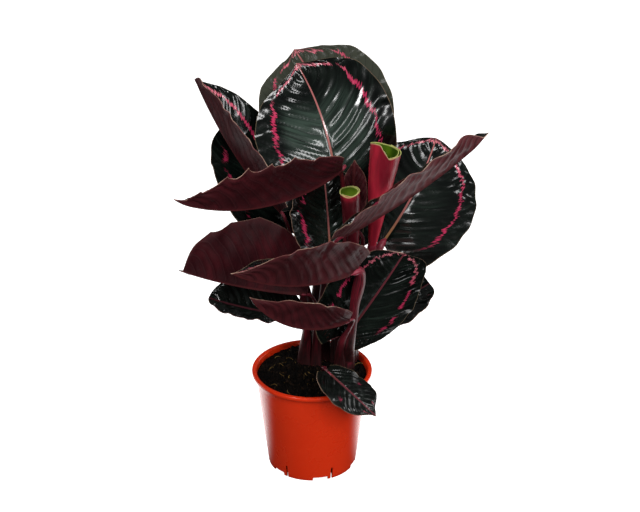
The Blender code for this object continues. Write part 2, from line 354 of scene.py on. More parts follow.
class Wire:
    """A node's output, to count with as with a number."""

    def __init__(self, pen: Pen, socket: bpy.types.NodeSocket) -> None:
        """Keep the pen that drew it, and the output."""
        self.pen = pen
        self.socket = socket

    def __add__(self, other: Value) -> Wire:
        """Add a value."""
        return self.pen.math("ADD", self, other)

    def __sub__(self, other: Value) -> Wire:
        """Take a value away."""
        return self.pen.math("SUBTRACT", self, other)

    def __rsub__(self, other: Value) -> Wire:
        """Take this away from a value."""
        return self.pen.math("SUBTRACT", other, self)

    def __mul__(self, other: Value) -> Wire:
        """Multiply by a value."""
        return self.pen.math("MULTIPLY", self, other)

    def __abs__(self) -> Wire:
        """Drop the sign."""
        return self.pen.math("ABSOLUTE", self)

    def rise(self, start: Value, end: Value) -> Wire:
        """Read this as a smooth step.

        Args:
            start: The value that becomes 0.
            end: The value that becomes 1.

        Returns:
            The share.
        """
        inputs = {"Value": self, "From Min": start, "From Max": end}
        return self.pen.wire("ShaderNodeMapRange", inputs, interpolation_type="SMOOTHSTEP")

    def fall(self, start: Value, end: Value) -> Wire:
        """Read this as a smooth step from 1 at start to 0 at end."""
        return 1.0 - self.rise(start, end)

    def parts(self) -> list[Wire]:
        """Split this vector into its three parts."""
        return list(self.pen.outputs("ShaderNodeSeparateXYZ", {0: self}).values())


Value = Wire | float | Triple | Colour


class Pen:
    """Draws nodes in a tree and returns their outputs as wires."""

    def __init__(self, tree: bpy.types.NodeTree) -> None:
        """Keep the tree to draw in."""
        self.tree = tree

    def feed(self, node: bpy.types.Node, inputs: dict[str | int, Value]) -> None:
        """Link a node's inputs, or set their constants.

        Args:
            node: The node.
            inputs: What goes into each input, by its name or number.
        """
        for key, value in inputs.items():
            if isinstance(value, Wire):
                self.tree.links.new(value.socket, node.inputs[key])
            else:
                node.inputs[key].default_value = value

    def node(self, kind: str, inputs: dict | None = None, **settings: object) -> bpy.types.Node:
        """Add a node.

        Args:
            kind: Its type.
            inputs: What goes into its inputs.
            **settings: Its properties.

        Returns:
            The node.
        """
        made = self.tree.nodes.new(kind)
        for key, value in settings.items():
            setattr(made, key, value)
        self.feed(made, inputs or {})
        return made

    def wire(self, kind: str, inputs: dict | None = None, output: int | str = 0,
             **settings: object) -> Wire:
        """Add a node and return one of its outputs."""
        return Wire(self, self.node(kind, inputs, **settings).outputs[output])

    def outputs(self, kind: str, inputs: dict | None = None, **settings: object) -> dict[str, Wire]:
        """Add a node and return its outputs by name."""
        made = self.node(kind, inputs, **settings)
        return {socket.name: Wire(self, socket) for socket in made.outputs}

    def math(self, operation: str, *values: Value) -> Wire:
        """Add a Math node."""
        return self.wire("ShaderNodeMath", dict(enumerate(values)), operation=operation)

    def join(self, *parts: Value) -> Wire:
        """Make a vector of its three parts."""
        return self.wire("ShaderNodeCombineXYZ", dict(enumerate(parts)))

    def read(self, name: str) -> Wire:
        """Read one of the piece's own attributes."""
        return self.wire("ShaderNodeAttribute", output="Vector", attribute_name=name)

    def grain(self, vector: Value, scale: Value, detail: float = 3.0,
              roughness: float = 0.55) -> Wire:
        """Add a noise value.

        Args:
            vector: Where to read it.
            scale: Its scale.
            detail: Its detail.
            roughness: Its roughness.

        Returns:
            A value about 0.5.
        """
        inputs = {"Vector": vector, "Scale": scale, "Detail": detail, "Roughness": roughness}
        return self.wire("ShaderNodeTexNoise", inputs, "Fac")

    def bump(self, height: Wire, strength: float, distance: float) -> Wire:
        """Make a normal of a height: how strongly it shows, and its size in metres."""
        return self.wire("ShaderNodeBump", {"Strength": strength, "Distance": distance,
                                            "Height": height})

    def layers(self, colour: Value, *coats: tuple[Value, Value]) -> Value:
        """Lay colours over each other.

        Args:
            colour: The ground.
            *coats: The share and the colour of each coat, from below.

        Returns:
            The colour that is seen.
        """
        for share, coat in coats:
            inputs = {"Factor": share, 6: colour, 7: coat}
            colour = self.wire("ShaderNodeMix", inputs, output=2, data_type="RGBA")
        return colour


class Group(Pen):
    """A pen for a new node group that takes a vector and some values, and gives values."""

    def __init__(self, name: str, vector: str, *values: str) -> None:
        """Start the group.

        Args:
            name: Its name.
            vector: The name of its vector input.
            *values: The names of its other inputs.
        """
        super().__init__(bpy.data.node_groups.new(name, "ShaderNodeTree"))
        for key in (vector, *values):
            kind = "NodeSocketVector" if key == vector else "NodeSocketFloat"
            self.tree.interface.new_socket(key, in_out="INPUT", socket_type=kind)
        self.given = self.outputs("NodeGroupInput")

    def finish(self, results: dict[str, Wire]) -> bpy.types.NodeTree:
        """Give the group its outputs.

        Args:
            results: What it puts out, by name.

        Returns:
            The group.
        """
        for key in results:
            self.tree.interface.new_socket(key, in_out="OUTPUT", socket_type="NodeSocketFloat")
        self.node("NodeGroupOutput", results)
        return self.tree


class SharedEffects:
    """The effects that several finishes use, each built once as a node group."""

    def __init__(self) -> None:
        """Build the groups."""
        self.veins = self.build_veins()
        self.skin = self.build_skin()

    def build_veins(self) -> bpy.types.NodeTree:
        """Build the side veins: a line at each vein, and streaks brushed along the veins.

        Returns:
            The group.
        """
        pen = Group("side_veins", "Place", "Seed", "Line Width")
        across, _, phase = pen.given["Place"].parts()
        seed = pen.given["Seed"]
        beat = abs(pen.math("SINE", phase * math.pi))
        fine_beat = abs(pen.math("SINE", phase * (math.pi * 7.0)))
        run = across * 1.6
        spread = phase * 3.0 + seed
        return pen.finish({
            "Line": beat.fall(0.0, pen.given["Line Width"]),
            "Band": beat,
            "Fine Line": fine_beat.fall(0.0, 0.5),
            "Streak": pen.grain(pen.join(spread, run, seed), 1.0, 3.0, 0.6),
            "Feather": pen.grain(pen.join(spread * 2.6, run, seed), 1.0, 2.0, 0.7),
        })

    def build_skin(self) -> bpy.types.NodeTree:
        """Build the fine skin: small cells and slow blotches.

        Returns:
            The group.
        """
        pen = Group("fine_skin", "Point", "Cell Scale", "Blotch Scale")
        point = pen.given["Point"]
        inputs = {"Vector": point, "Scale": pen.given["Cell Scale"]}
        return pen.finish({"Cell": pen.wire("ShaderNodeTexVoronoi", inputs, "Distance"),
                           "Blotch": pen.grain(point, pen.given["Blotch Scale"], 4.0)})


class Brush(Pen):
    """A pen for one material."""

    def __init__(self, material: bpy.types.Material, effects: SharedEffects) -> None:
        """Open the material.

        Args:
            material: The material to draw in.
            effects: The shared groups.
        """
        material.use_nodes = True
        super().__init__(material.node_tree)
        self.effects = effects
        self.point = self.wire("ShaderNodeTexCoord", output="Object")

    def veins(self, place: Wire, seed: Wire, width: float) -> dict[str, Wire]:
        """Place the side veins: where they are read, which they are, and how wide a line is."""
        return self.outputs("ShaderNodeGroup", {"Place": place, "Seed": seed, "Line Width": width},
                            node_tree=self.effects.veins)

    def skin(self, cells: float, blotches: float) -> tuple[Wire, Wire]:
        """Place the fine skin.

        Args:
            cells: The scale of its cells.
            blotches: The scale of its blotches.

        Returns:
            The cells and the blotches.
        """
        inputs = {"Point": self.point, "Cell Scale": cells, "Blotch Scale": blotches}
        made = self.outputs("ShaderNodeGroup", inputs, node_tree=self.effects.skin)
        return made["Cell"], made["Blotch"]

    def surface(self, inputs: dict[str, Value]) -> None:
        """Feed the material's Principled shader."""
        self.feed(self.tree.nodes["Principled BSDF"], inputs)


# ---------------------------------------------------------------- finishes


@dataclass(frozen=True)
class Finish:
    """A finish of nodes. Each kind paints its own.

    `grains` are the scales of its cells and its blotches, `relief` its bump's strength and depth.
    """

    name: str

    def paint(self, pen: Brush) -> None:
        """Draw the finish's nodes."""
        raise NotImplementedError

    def material(self, effects: SharedEffects) -> bpy.types.Material:
        """Build the material.

        Args:
            effects: The shared groups.

        Returns:
            The material.
        """
        made = bpy.data.materials.new(self.name)
        self.paint(Brush(made, effects))
        return made


@dataclass(frozen=True)
class LeafUpperFinish(Finish):
    """The upper face: near black green, painted silvery sheen, a jagged pink ring and a pink midrib."""

    shadow: Colour = srgb(3, 6, 5)
    green: Colour = srgb(10, 17, 13)
    painted_sheen: Colour = srgb(52, 66, 58)
    painted_olive_sheen: Colour = srgb(57, 60, 49)
    pink: Colour = srgb(182, 44, 84)
    pale_pink: Colour = srgb(214, 118, 132)
    rib: Colour = srgb(170, 102, 100)
    rib_end: Colour = srgb(156, 112, 72)
    rib_deep: Colour = srgb(88, 22, 42)
    edge: Colour = srgb(134, 116, 92)
    ring_jag: float = 12.0
    ring_swing: float = 13.0
    roughness: float = 0.24
    specular: float = 0.12
    coat: float = 0.85
    coat_roughness: float = 0.15
    vein_line: float = 0.22
    grains: Pair = (1400.0, 45.0)
    relief: Pair = (0.15, 0.4 * MM)

    def paint(self, pen: Brush) -> None:
        """Draw the finish's nodes.

        Args:
            pen: The material's pen.
        """
        place = pen.read("blade_place")
        _, along, phase = place.parts()
        rib_mm, edge_mm, ring_mm = pen.read("blade_reach").parts()
        seed, painted_sheen_share, ring_share = pen.read("leaf_seed_painted_sheen_ring").parts()
        dull, crimson, rib_share = pen.read("leaf_tints").parts()
        veins = pen.veins(place, seed, self.vein_line)
        cell, blotch = pen.skin(*self.grains)
        streak, feather = veins["Streak"], veins["Feather"]
        # Painted sheen: a silvery middle inside the ring, brushed along the veins, scaled by the leaf's
        # share of painted sheen.
        middle = ring_mm.rise(-3.0, -20.0) * along.rise(0.74, 0.5)
        middle = middle * (streak.rise(0.36, 0.64) * 0.7 + 0.3) * painted_sheen_share
        swing = pen.grain(pen.join(phase * 0.8, seed, 0.0), 1.0, 2.0)
        gap = pen.grain(pen.join(phase * 0.55, seed, 4.0), 1.0, 2.0, 0.7)
        jag = (feather - 0.5) * self.ring_jag + (swing - 0.5) * self.ring_swing
        girth = swing.rise(0.34, 0.66) * 1.35 + 0.2
        least = 0.74 - ring_share * 0.42
        ring = abs(ring_mm + jag).fall(girth, girth + 0.7) * gap.rise(least, least + 0.07)
        ring = ring * ring_share.rise(0.1, 0.75) * along.rise(0.14, 0.3)
        rib_half = 1.15 - along * 0.85 + crimson * 0.5
        colour = pen.layers(
            self.shadow,
            (blotch.rise(0.35, 0.7), self.green),
            # Painted sheen: faint silvery streaks along the veins on every leaf, then the silvery
            # middle.
            (streak.rise(0.52, 0.74) * 0.22, self.painted_sheen),
            (middle, self.painted_sheen),
            # Painted sheen: a dull leaf takes an olive grey cast, scaled by its dullness and its share
            # of painted sheen.
            (dull * painted_sheen_share * 1.5, self.painted_olive_sheen),
            (veins["Line"] * 0.5, self.shadow),
            (ring, pen.layers(self.pink, (along.rise(0.6, 1.0), self.pale_pink),
                              (feather.rise(0.62, 0.8), self.pale_pink))),
            (rib_mm.fall(rib_half, rib_half + 0.35) * rib_share,
             pen.layers(self.rib_end, (along.rise(0.0, 0.4), self.rib), (crimson, self.rib_deep))),
            (edge_mm.fall(0.25, 0.8) * 0.5, self.edge))
        pen.surface({
            "Base Color": colour,
            "Roughness": (blotch - 0.5) * 0.25 + self.roughness + dull * 0.3 + ring * 0.08,
            "Specular IOR Level": self.specular,
            "Coat Weight": (1.0 - dull) * self.coat,
            "Coat Roughness": self.coat_roughness,
            "Normal": pen.bump(streak * 0.12 + veins["Band"] * 0.3 + cell * 0.05, *self.relief),
        })


@dataclass(frozen=True)
class LeafUnderFinish(Finish):
    """The underside: burgundy to mauve, satin, with raised veins."""

    deep: Colour = srgb(40, 9, 14)
    wine: Colour = srgb(64, 15, 22)
    mauve: Colour = srgb(112, 58, 62)
    vein: Colour = srgb(30, 8, 12)
    rib: Colour = srgb(76, 30, 32)
    edge: Colour = srgb(134, 98, 86)
    roughness: float = 0.45
    specular: float = 0.07
    vein_line: float = 0.3
    grains: Pair = (1500.0, 38.0)
    relief: Pair = (0.3, 0.3 * MM)

    def paint(self, pen: Brush) -> None:
        """Draw the finish's nodes.

        Args:
            pen: The material's pen.
        """
        place = pen.read("blade_place")
        along = place.parts()[1]
        rib_mm, edge_mm, _ = pen.read("blade_reach").parts()
        seed = pen.read("leaf_seed_painted_sheen_ring").parts()[0]
        mauve_share = pen.read("leaf_tints").parts()[1]
        veins = pen.veins(place, seed, self.vein_line)
        cell, blotch = pen.skin(*self.grains)
        rib_half = 1.5 - along
        colour = pen.layers(
            self.deep,
            (blotch.rise(0.35, 0.68), self.wine),
            (mauve_share * (veins["Streak"] * 0.8 + 0.55), self.mauve),
            (veins["Band"].rise(0.75, 0.1) * 0.55, self.vein),
            (veins["Line"] * 0.15, self.mauve),
            (edge_mm.rise(9.0, 0.0) * 0.22, self.mauve),
            (rib_mm.fall(rib_half, rib_half + 0.5) * 0.7, self.rib),
            (edge_mm.fall(0.2, 0.9) * 0.6, self.edge))
        height = veins["Fine Line"] * 0.4 + cell * 0.4 + veins["Line"] * 0.5
        pen.surface({
            "Base Color": colour,
            "Roughness": (blotch - 0.5) * 0.2 + self.roughness,
            "Specular IOR Level": self.specular,
            "Normal": pen.bump(height, *self.relief),
        })


@dataclass(frozen=True)
class LeafRimFinish(Finish):
    """The cut of the margin: a thin pale line with a pink cast."""

    pale: Colour = srgb(178, 146, 126)
    pink: Colour = srgb(110, 52, 54)
    roughness: float = 0.45
    grains: Pair = (900.0, 60.0)
    relief: Pair = (0.2, 0.1 * MM)

    def paint(self, pen: Brush) -> None:
        """Draw the finish's nodes.

        Args:
            pen: The material's pen.
        """
        cell, blotch = pen.skin(*self.grains)
        share = blotch.rise(0.4, 0.62)
        pen.surface({
            "Base Color": pen.layers(self.pink, (share, self.pale)),
            "Roughness": share * 0.15 + self.roughness,
            "Normal": pen.bump(cell, *self.relief),
        })


@dataclass(frozen=True)
class StemFinish(Finish):
    """A stalk: crimson, streaked along its length, darker in the shade at its foot."""

    crimson: Colour = srgb(116, 19, 37)
    dark: Colour = srgb(38, 9, 14)
    rose: Colour = srgb(170, 46, 72)
    # The colour of the painted shade at the stalk's foot.
    foot: Colour = srgb(26, 11, 10)
    roughness: float = 0.38
    glow: float = 0.05
    glow_depth: Triple = (0.002, 0.0006, 0.0006)
    grains: Pair = (1500.0, 60.0)
    relief: Pair = (0.4, 0.3 * MM)

    def paint(self, pen: Brush) -> None:
        """Draw the finish's nodes.

        Args:
            pen: The material's pen.
        """
        turn, along, seed = pen.read("stalk_place").parts()
        cell, blotch = pen.skin(*self.grains)
        lines = pen.grain(pen.join(turn * 7.0, along * 5.0, seed), 1.0)
        colour = pen.layers(
            self.dark,
            (lines.rise(0.36, 0.66), self.crimson),
            (along.rise(0.86, 0.98) * 0.55, self.rose),
            # Painted shade: the stalk darkens towards its foot, where the clump shades it.
            ((along + lines * 0.2).rise(0.8, 0.25) * 0.85, self.foot),
            (blotch.rise(0.6, 0.75) * 0.3, self.rose))
        pen.surface({
            "Base Color": colour,
            "Roughness": lines * 0.12 + self.roughness,
            "Normal": pen.bump(lines + cell * 0.3, *self.relief),
            "Subsurface Weight": self.glow,
            "Subsurface Radius": self.glow_depth,
        })


@dataclass(frozen=True)
class RollFinish(Finish):
    """A rolled leaf's skin, outside or inside, with streaks along its length."""

    base: Colour
    deep: Colour
    streak: Colour
    edge: Colour
    # The colour that the painted shade share mixes to.
    shade: Colour
    roughness: float = 0.34
    vein_line: float = 0.3
    grains: Pair = (1500.0, 42.0)
    relief: Pair = (0.35, 0.4 * MM)

    def paint(self, pen: Brush) -> None:
        """Draw the finish's nodes.

        Args:
            pen: The material's pen.
        """
        turn, along, seed = pen.read("roll_place").parts()
        edge_mm, painted_shade_share, _ = pen.read("roll_edge_and_shade").parts()
        _, blotch = pen.skin(*self.grains)
        place = pen.join(along * 0.6, along * 7.0, turn * 9.0 + along)
        veins = pen.veins(place, seed, self.vein_line)
        lines = pen.grain(pen.join(turn * 9.0, along * 1.5, seed), 1.0)
        colour = pen.layers(
            self.deep,
            (lines.rise(0.36, 0.62), self.base),
            (lines.rise(0.56, 0.72) * 0.6, self.streak),
            (veins["Line"] * 0.25, self.deep),
            # Painted shade below the mouth of a shaded roll: the outside darkens to deep crimson, the
            # inside turns a paler green.
            (painted_shade_share, self.shade),
            (edge_mm.fall(0.3, 1.3) * 0.8, self.edge))
        pen.surface({
            "Base Color": colour,
            "Roughness": (blotch - 0.5) * 0.2 + self.roughness,
            "Normal": pen.bump(lines + veins["Fine Line"] * 0.4, *self.relief),
        })


@dataclass(frozen=True)
class PotFinish(Finish):
    """Moulded plastic: orange red, glossy, with faint turning lines, scuffs and soil inside."""

    orange: Colour = srgb(232, 56, 14)
    deep: Colour = srgb(220, 46, 10)
    dust: Colour = srgb(214, 118, 84)
    soil: Colour = srgb(70, 40, 28)
    roughness: float = 0.27
    specular: float = 0.5
    glow: float = 0.06
    glow_depth: Triple = (0.003, 0.001, 0.0005)
    inner_foot: float = 42.3 * MM
    inner_slope: float = 0.118
    line_pace: float = 9000.0
    grains: Pair = (700.0, 22.0)
    relief: Pair = (0.12, 0.12 * MM)

    def paint(self, pen: Brush) -> None:
        """Draw the finish's nodes.

        Args:
            pen: The material's pen.
        """
        east, north, height = pen.point.parts()
        cell, blotch = pen.skin(*self.grains)
        reach = pen.math("SQRT", east * east + north * north)
        within = (height * self.inner_slope + self.inner_foot - reach).rise(-0.0006, 0.0004)
        dirty = within * pen.grain(pen.point, 160.0, 5.0, 0.65).rise(0.42, 0.6)
        scuff = pen.grain(pen.join(east * 700.0, north * 700.0, height * 160.0), 1.0, 5.0, 0.75)
        worn = scuff.rise(0.58, 0.8) * (height.rise(0.012, 0.0) * 0.35 + 0.05)
        lines = pen.math("SINE", height * self.line_pace)
        pen.surface({
            "Base Color": pen.layers(self.deep, (blotch, self.orange), (worn, self.dust),
                                     (dirty * 0.8, self.soil)),
            "Roughness": (blotch - 0.5) * 0.1 + self.roughness + (worn + dirty) * 0.35,
            "Specular IOR Level": self.specular,
            "Normal": pen.bump(lines * 0.12 + cell * 0.5, *self.relief),
            "Subsurface Weight": self.glow,
            "Subsurface Radius": self.glow_depth,
        })


@dataclass(frozen=True)
class SoilFinish(Finish):
    """Potting mix or one of its bits: colours mixed by grain, rough, deeply bumped."""

    dark: Colour
    light: Colour
    speck: Colour
    speck_share: float = 0.7
    roughness: float = 0.92
    depth: float = 1.2 * MM
    specular: float = 0.08
    grains: Pair = (520.0, 150.0)

    def paint(self, pen: Brush) -> None:
        """Draw the finish's nodes.

        Args:
            pen: The material's pen.
        """
        cell, blotch = pen.skin(*self.grains)
        fine = pen.grain(pen.point, 900.0, 5.0, 0.7)
        specks = fine.rise(self.speck_share, self.speck_share + 0.06)
        pen.surface({
            "Base Color": pen.layers(self.dark, (blotch.rise(0.35, 0.65), self.light),
                                     (specks, self.speck)),
            "Roughness": self.roughness - fine * 0.2,
            "Specular IOR Level": self.specular,
            "Normal": pen.bump(fine + cell * 0.8, 1.0, self.depth),
        })


@dataclass(frozen=True)
class FloorFinish(Finish):
    """A plain pale studio floor: pale to look at, with a softer bounce and a glow behind the pot."""

    pale: Colour = srgb(250, 250, 250)
    bounce: Colour = srgb(120, 118, 116)
    mirrored: Colour = srgb(48, 47, 46)
    glow: float = 0.93
    sheen: float = 2.7
    roughness: float = 0.9
    specular: float = 0.1

    def paint(self, pen: Brush) -> None:
        """Draw the finish's nodes.

        Args:
            pen: The material's pen.
        """
        rays = pen.outputs("ShaderNodeLightPath")
        seen, glossy = rays["Is Camera Ray"], rays["Is Glossy Ray"]
        north = pen.point.parts()[1]
        behind = north.rise(-0.02, 0.06) * north.rise(0.32, 0.2) * self.sheen
        pen.surface({
            "Base Color": pen.layers(self.bounce, (glossy, self.mirrored), (seen, self.pale)),
            "Roughness": self.roughness,
            "Specular IOR Level": self.specular,
            "Emission Color": self.pale,
            "Emission Strength": seen * self.glow + glossy * behind,
        })


class Dress(Enum):
    """The finishes that the pieces wear."""

    UPPER = LeafUpperFinish("leaf_upper_face")
    UNDER = LeafUnderFinish("leaf_underside")
    RIM = LeafRimFinish("leaf_margin")
    STEM = StemFinish("stalk_skin")
    ROLL_OUTSIDE = RollFinish("rolled_leaf_outside", srgb(190, 40, 60), srgb(136, 24, 42),
                              srgb(216, 64, 104), srgb(226, 170, 140), srgb(56, 10, 18))
    ROLL_INSIDE = RollFinish("rolled_leaf_inside", srgb(88, 122, 18), srgb(50, 78, 10),
                             srgb(126, 152, 32), srgb(214, 214, 130), srgb(120, 150, 40))
    POT = PotFinish("pot_moulded_plastic")
    SOIL = SoilFinish("potting_mix", srgb(3, 2, 2), srgb(17, 11, 7), srgb(78, 62, 40))
    BARK = SoilFinish("bark_bits", srgb(9, 6, 4), srgb(34, 22, 14), srgb(86, 62, 38), 0.68, 0.85,
                      0.5 * MM)
    GRIT = SoilFinish("pale_grit", srgb(176, 172, 150), srgb(222, 220, 204), srgb(240, 238, 226),
                      0.6, 0.9, 0.3 * MM)
    FIBRE = SoilFinish("root_fibre", srgb(56, 40, 20), srgb(132, 106, 60), srgb(190, 168, 112),
                       0.6, 0.8, 0.2 * MM)
    FLOOR = FloorFinish("studio_floor")


Wardrobe = dict[Dress, bpy.types.Material]


# ---------------------------------------------------------------- leaves


@dataclass
class Stalk:
    """A leaf stalk: sheathed and flattened at its foot, round above, swollen below the blade.

    The belly, the knee and the groove each lie at a middle and a width, as shares of the stalk.
    """

    name: str
    route: np.ndarray
    radii: Pair
    seed: int
    belly: float
    sides: int = 20
    rings: int = 76
    clump: Pair = (18.0, 60.0)
    belly_at: Pair = (0.84, 0.15)
    knee_at: Pair = (0.93, 0.05)
    knee: float = 0.14
    groove_at: Pair = (0.25, 0.05)
    groove: float = 0.12
    taper_from: float = 0.965
    taper: float = 0.72
    sheath_spread: float = 1.15
    sheath_thinning: float = 0.04
    foot_spread: float = 0.3
    smooth_below: float = 60.0

    def shape(self, along: np.ndarray) -> tuple[np.ndarray, np.ndarray]:
        """Return the two radii along the stalk.

        Args:
            along: Shares of its length.

        Returns:
            Wide and deep radii, in metres.
        """
        low, high = self.radii
        radius = low + (high - low) * along + self.belly * bell(along, *self.belly_at)
        radius = radius * (1.0 + self.knee * bell(along, *self.knee_at))
        radius = radius * (1.0 - self.taper * smooth(self.taper_from, 1.0, along))
        sheath = smooth(0.92, 0.5, along)
        wide = 1.0 + self.sheath_spread * sheath + self.foot_spread * smooth(0.3, 0.05, along)
        return radius * wide * MM, radius * (1.0 - self.sheath_thinning * sheath) * MM

    def build(self, wardrobe: Wardrobe) -> Piece:
        """Model the stalk.

        Args:
            wardrobe: The finishes.

        Returns:
            The stalk.
        """
        piece = long_cylinder(self.name, self.sides, self.rings)
        points = coordinates(piece)
        height = points[:, 2]
        turn = np.arctan2(points[:, 1], points[:, 0]) / TURN
        round_turn = np.sin(turn * TURN) + 0.5 * np.cos(2.0 * turn * TURN)
        note(piece, "stalk_place", round_turn, height, self.seed * 2.7)
        groove = self.groove * bell(turn, *self.groove_at) * smooth(0.95, 0.8, height)
        points[:, :2] *= 1.0 - groove[:, None]
        facing = (self.route[0] / MM)[:2] - np.array(self.clump)
        place(piece, sweep(points, self.route, self.shape, (*facing, 0.0)))
        dress(piece, wardrobe[Dress.STEM])
        shade(piece, self.smooth_below)
        return piece


@dataclass
class Leaf:
    """A blade laid on a grid, and its stalk. Sizes are millimetres and degrees."""

    name: str
    foot: Pair
    stem: Pair = (2.6, 1.3)
    crook: float = 16.0
    via: tuple[Triple, ...] = ()
    belly: float = 0.0
    seed: int = 1

    SLOT = "leaf_upper"
    ROWS = 100
    COLUMNS = 40
    EASE = 0.6
    SMOOTH_BELOW = 50.0
    SPAN_POINTS = 25
    SPAN_PULL = 0.38

    def surface(self, along: np.ndarray, across: np.ndarray) -> np.ndarray:
        """Lay the blade out as a grid of points."""
        raise NotImplementedError

    def model(self, piece: Piece, along: np.ndarray, across: np.ndarray, wardrobe: Wardrobe) -> None:
        """Give the laid grid its notes, its skins and its finishes."""
        raise NotImplementedError

    def socket(self) -> tuple[np.ndarray, np.ndarray, list[np.ndarray]]:
        """Return where the stalk ends, its direction there, and its points inside the blade."""
        raise NotImplementedError

    def build_blade(self, wardrobe: Wardrobe) -> Piece:
        """Model the blade: a grid laid on its surface, then given its two skins.

        Args:
            wardrobe: The finishes.

        Returns:
            The blade.
        """
        piece = add(bpy.ops.mesh.primitive_grid_add, "leaf_" + self.name,
                    x_subdivisions=self.COLUMNS, y_subdivisions=self.ROWS, size=2.0)
        flat = np.round(coordinates(piece), 6)
        across, column = np.unique(flat[:, 0], return_inverse=True)
        level, row = np.unique(flat[:, 1], return_inverse=True)
        share = (level + 1.0) / 2.0
        along = self.EASE * (1.0 - np.cos(np.pi * share)) / 2.0 + (1.0 - self.EASE) * share
        place(piece, self.surface(along, across)[row, column])
        self.model(piece, along[row], across[column], wardrobe)
        shade(piece, self.SMOOTH_BELOW)
        return piece

    def build_stalk(self, wardrobe: Wardrobe) -> Piece:
        """Model the stalk: straight up out of the soil, then one smooth curve through its knots.

        Args:
            wardrobe: The finishes.

        Returns:
            The stalk.
        """
        end, direction, tail = self.socket()
        knots = [np.array(knot, float) for knot in ((*self.foot, STALK_OUT), *self.via, end)]
        middle = [unit(after - before) for before, after in zip(knots, knots[2:])]
        tangents = [np.array([0.0, 0.0, 1.0]), *middle, direction]
        route = [np.array([*self.foot, STALK_FOOT])]
        for index, (start, stop) in enumerate(zip(knots, knots[1:])):
            reach = np.linalg.norm(stop - start) * self.SPAN_PULL
            arrive = self.crook if index == len(knots) - 2 else reach
            first = start + tangents[index] * reach
            second = stop - tangents[index + 1] * arrive
            for share in np.linspace(0.0, 1.0, self.SPAN_POINTS)[min(index, 1):]:
                rest = 1.0 - share
                route.append(start * rest ** 3 + first * 3.0 * rest ** 2 * share
                             + second * 3.0 * rest * share ** 2 + stop * share ** 3)
        route = np.vstack([route, tail]) * MM
        return Stalk("stalk_" + self.name, route, self.stem, self.seed, self.belly).build(wardrobe)

    def build(self, wardrobe: Wardrobe) -> None:
        """Build and hand over the leaf's blade and its stalk."""
        hand_over(self.build_blade(wardrobe), self.SLOT, "blade_" + self.name)
        hand_over(self.build_stalk(wardrobe), "stem_red", "stem_" + self.name)


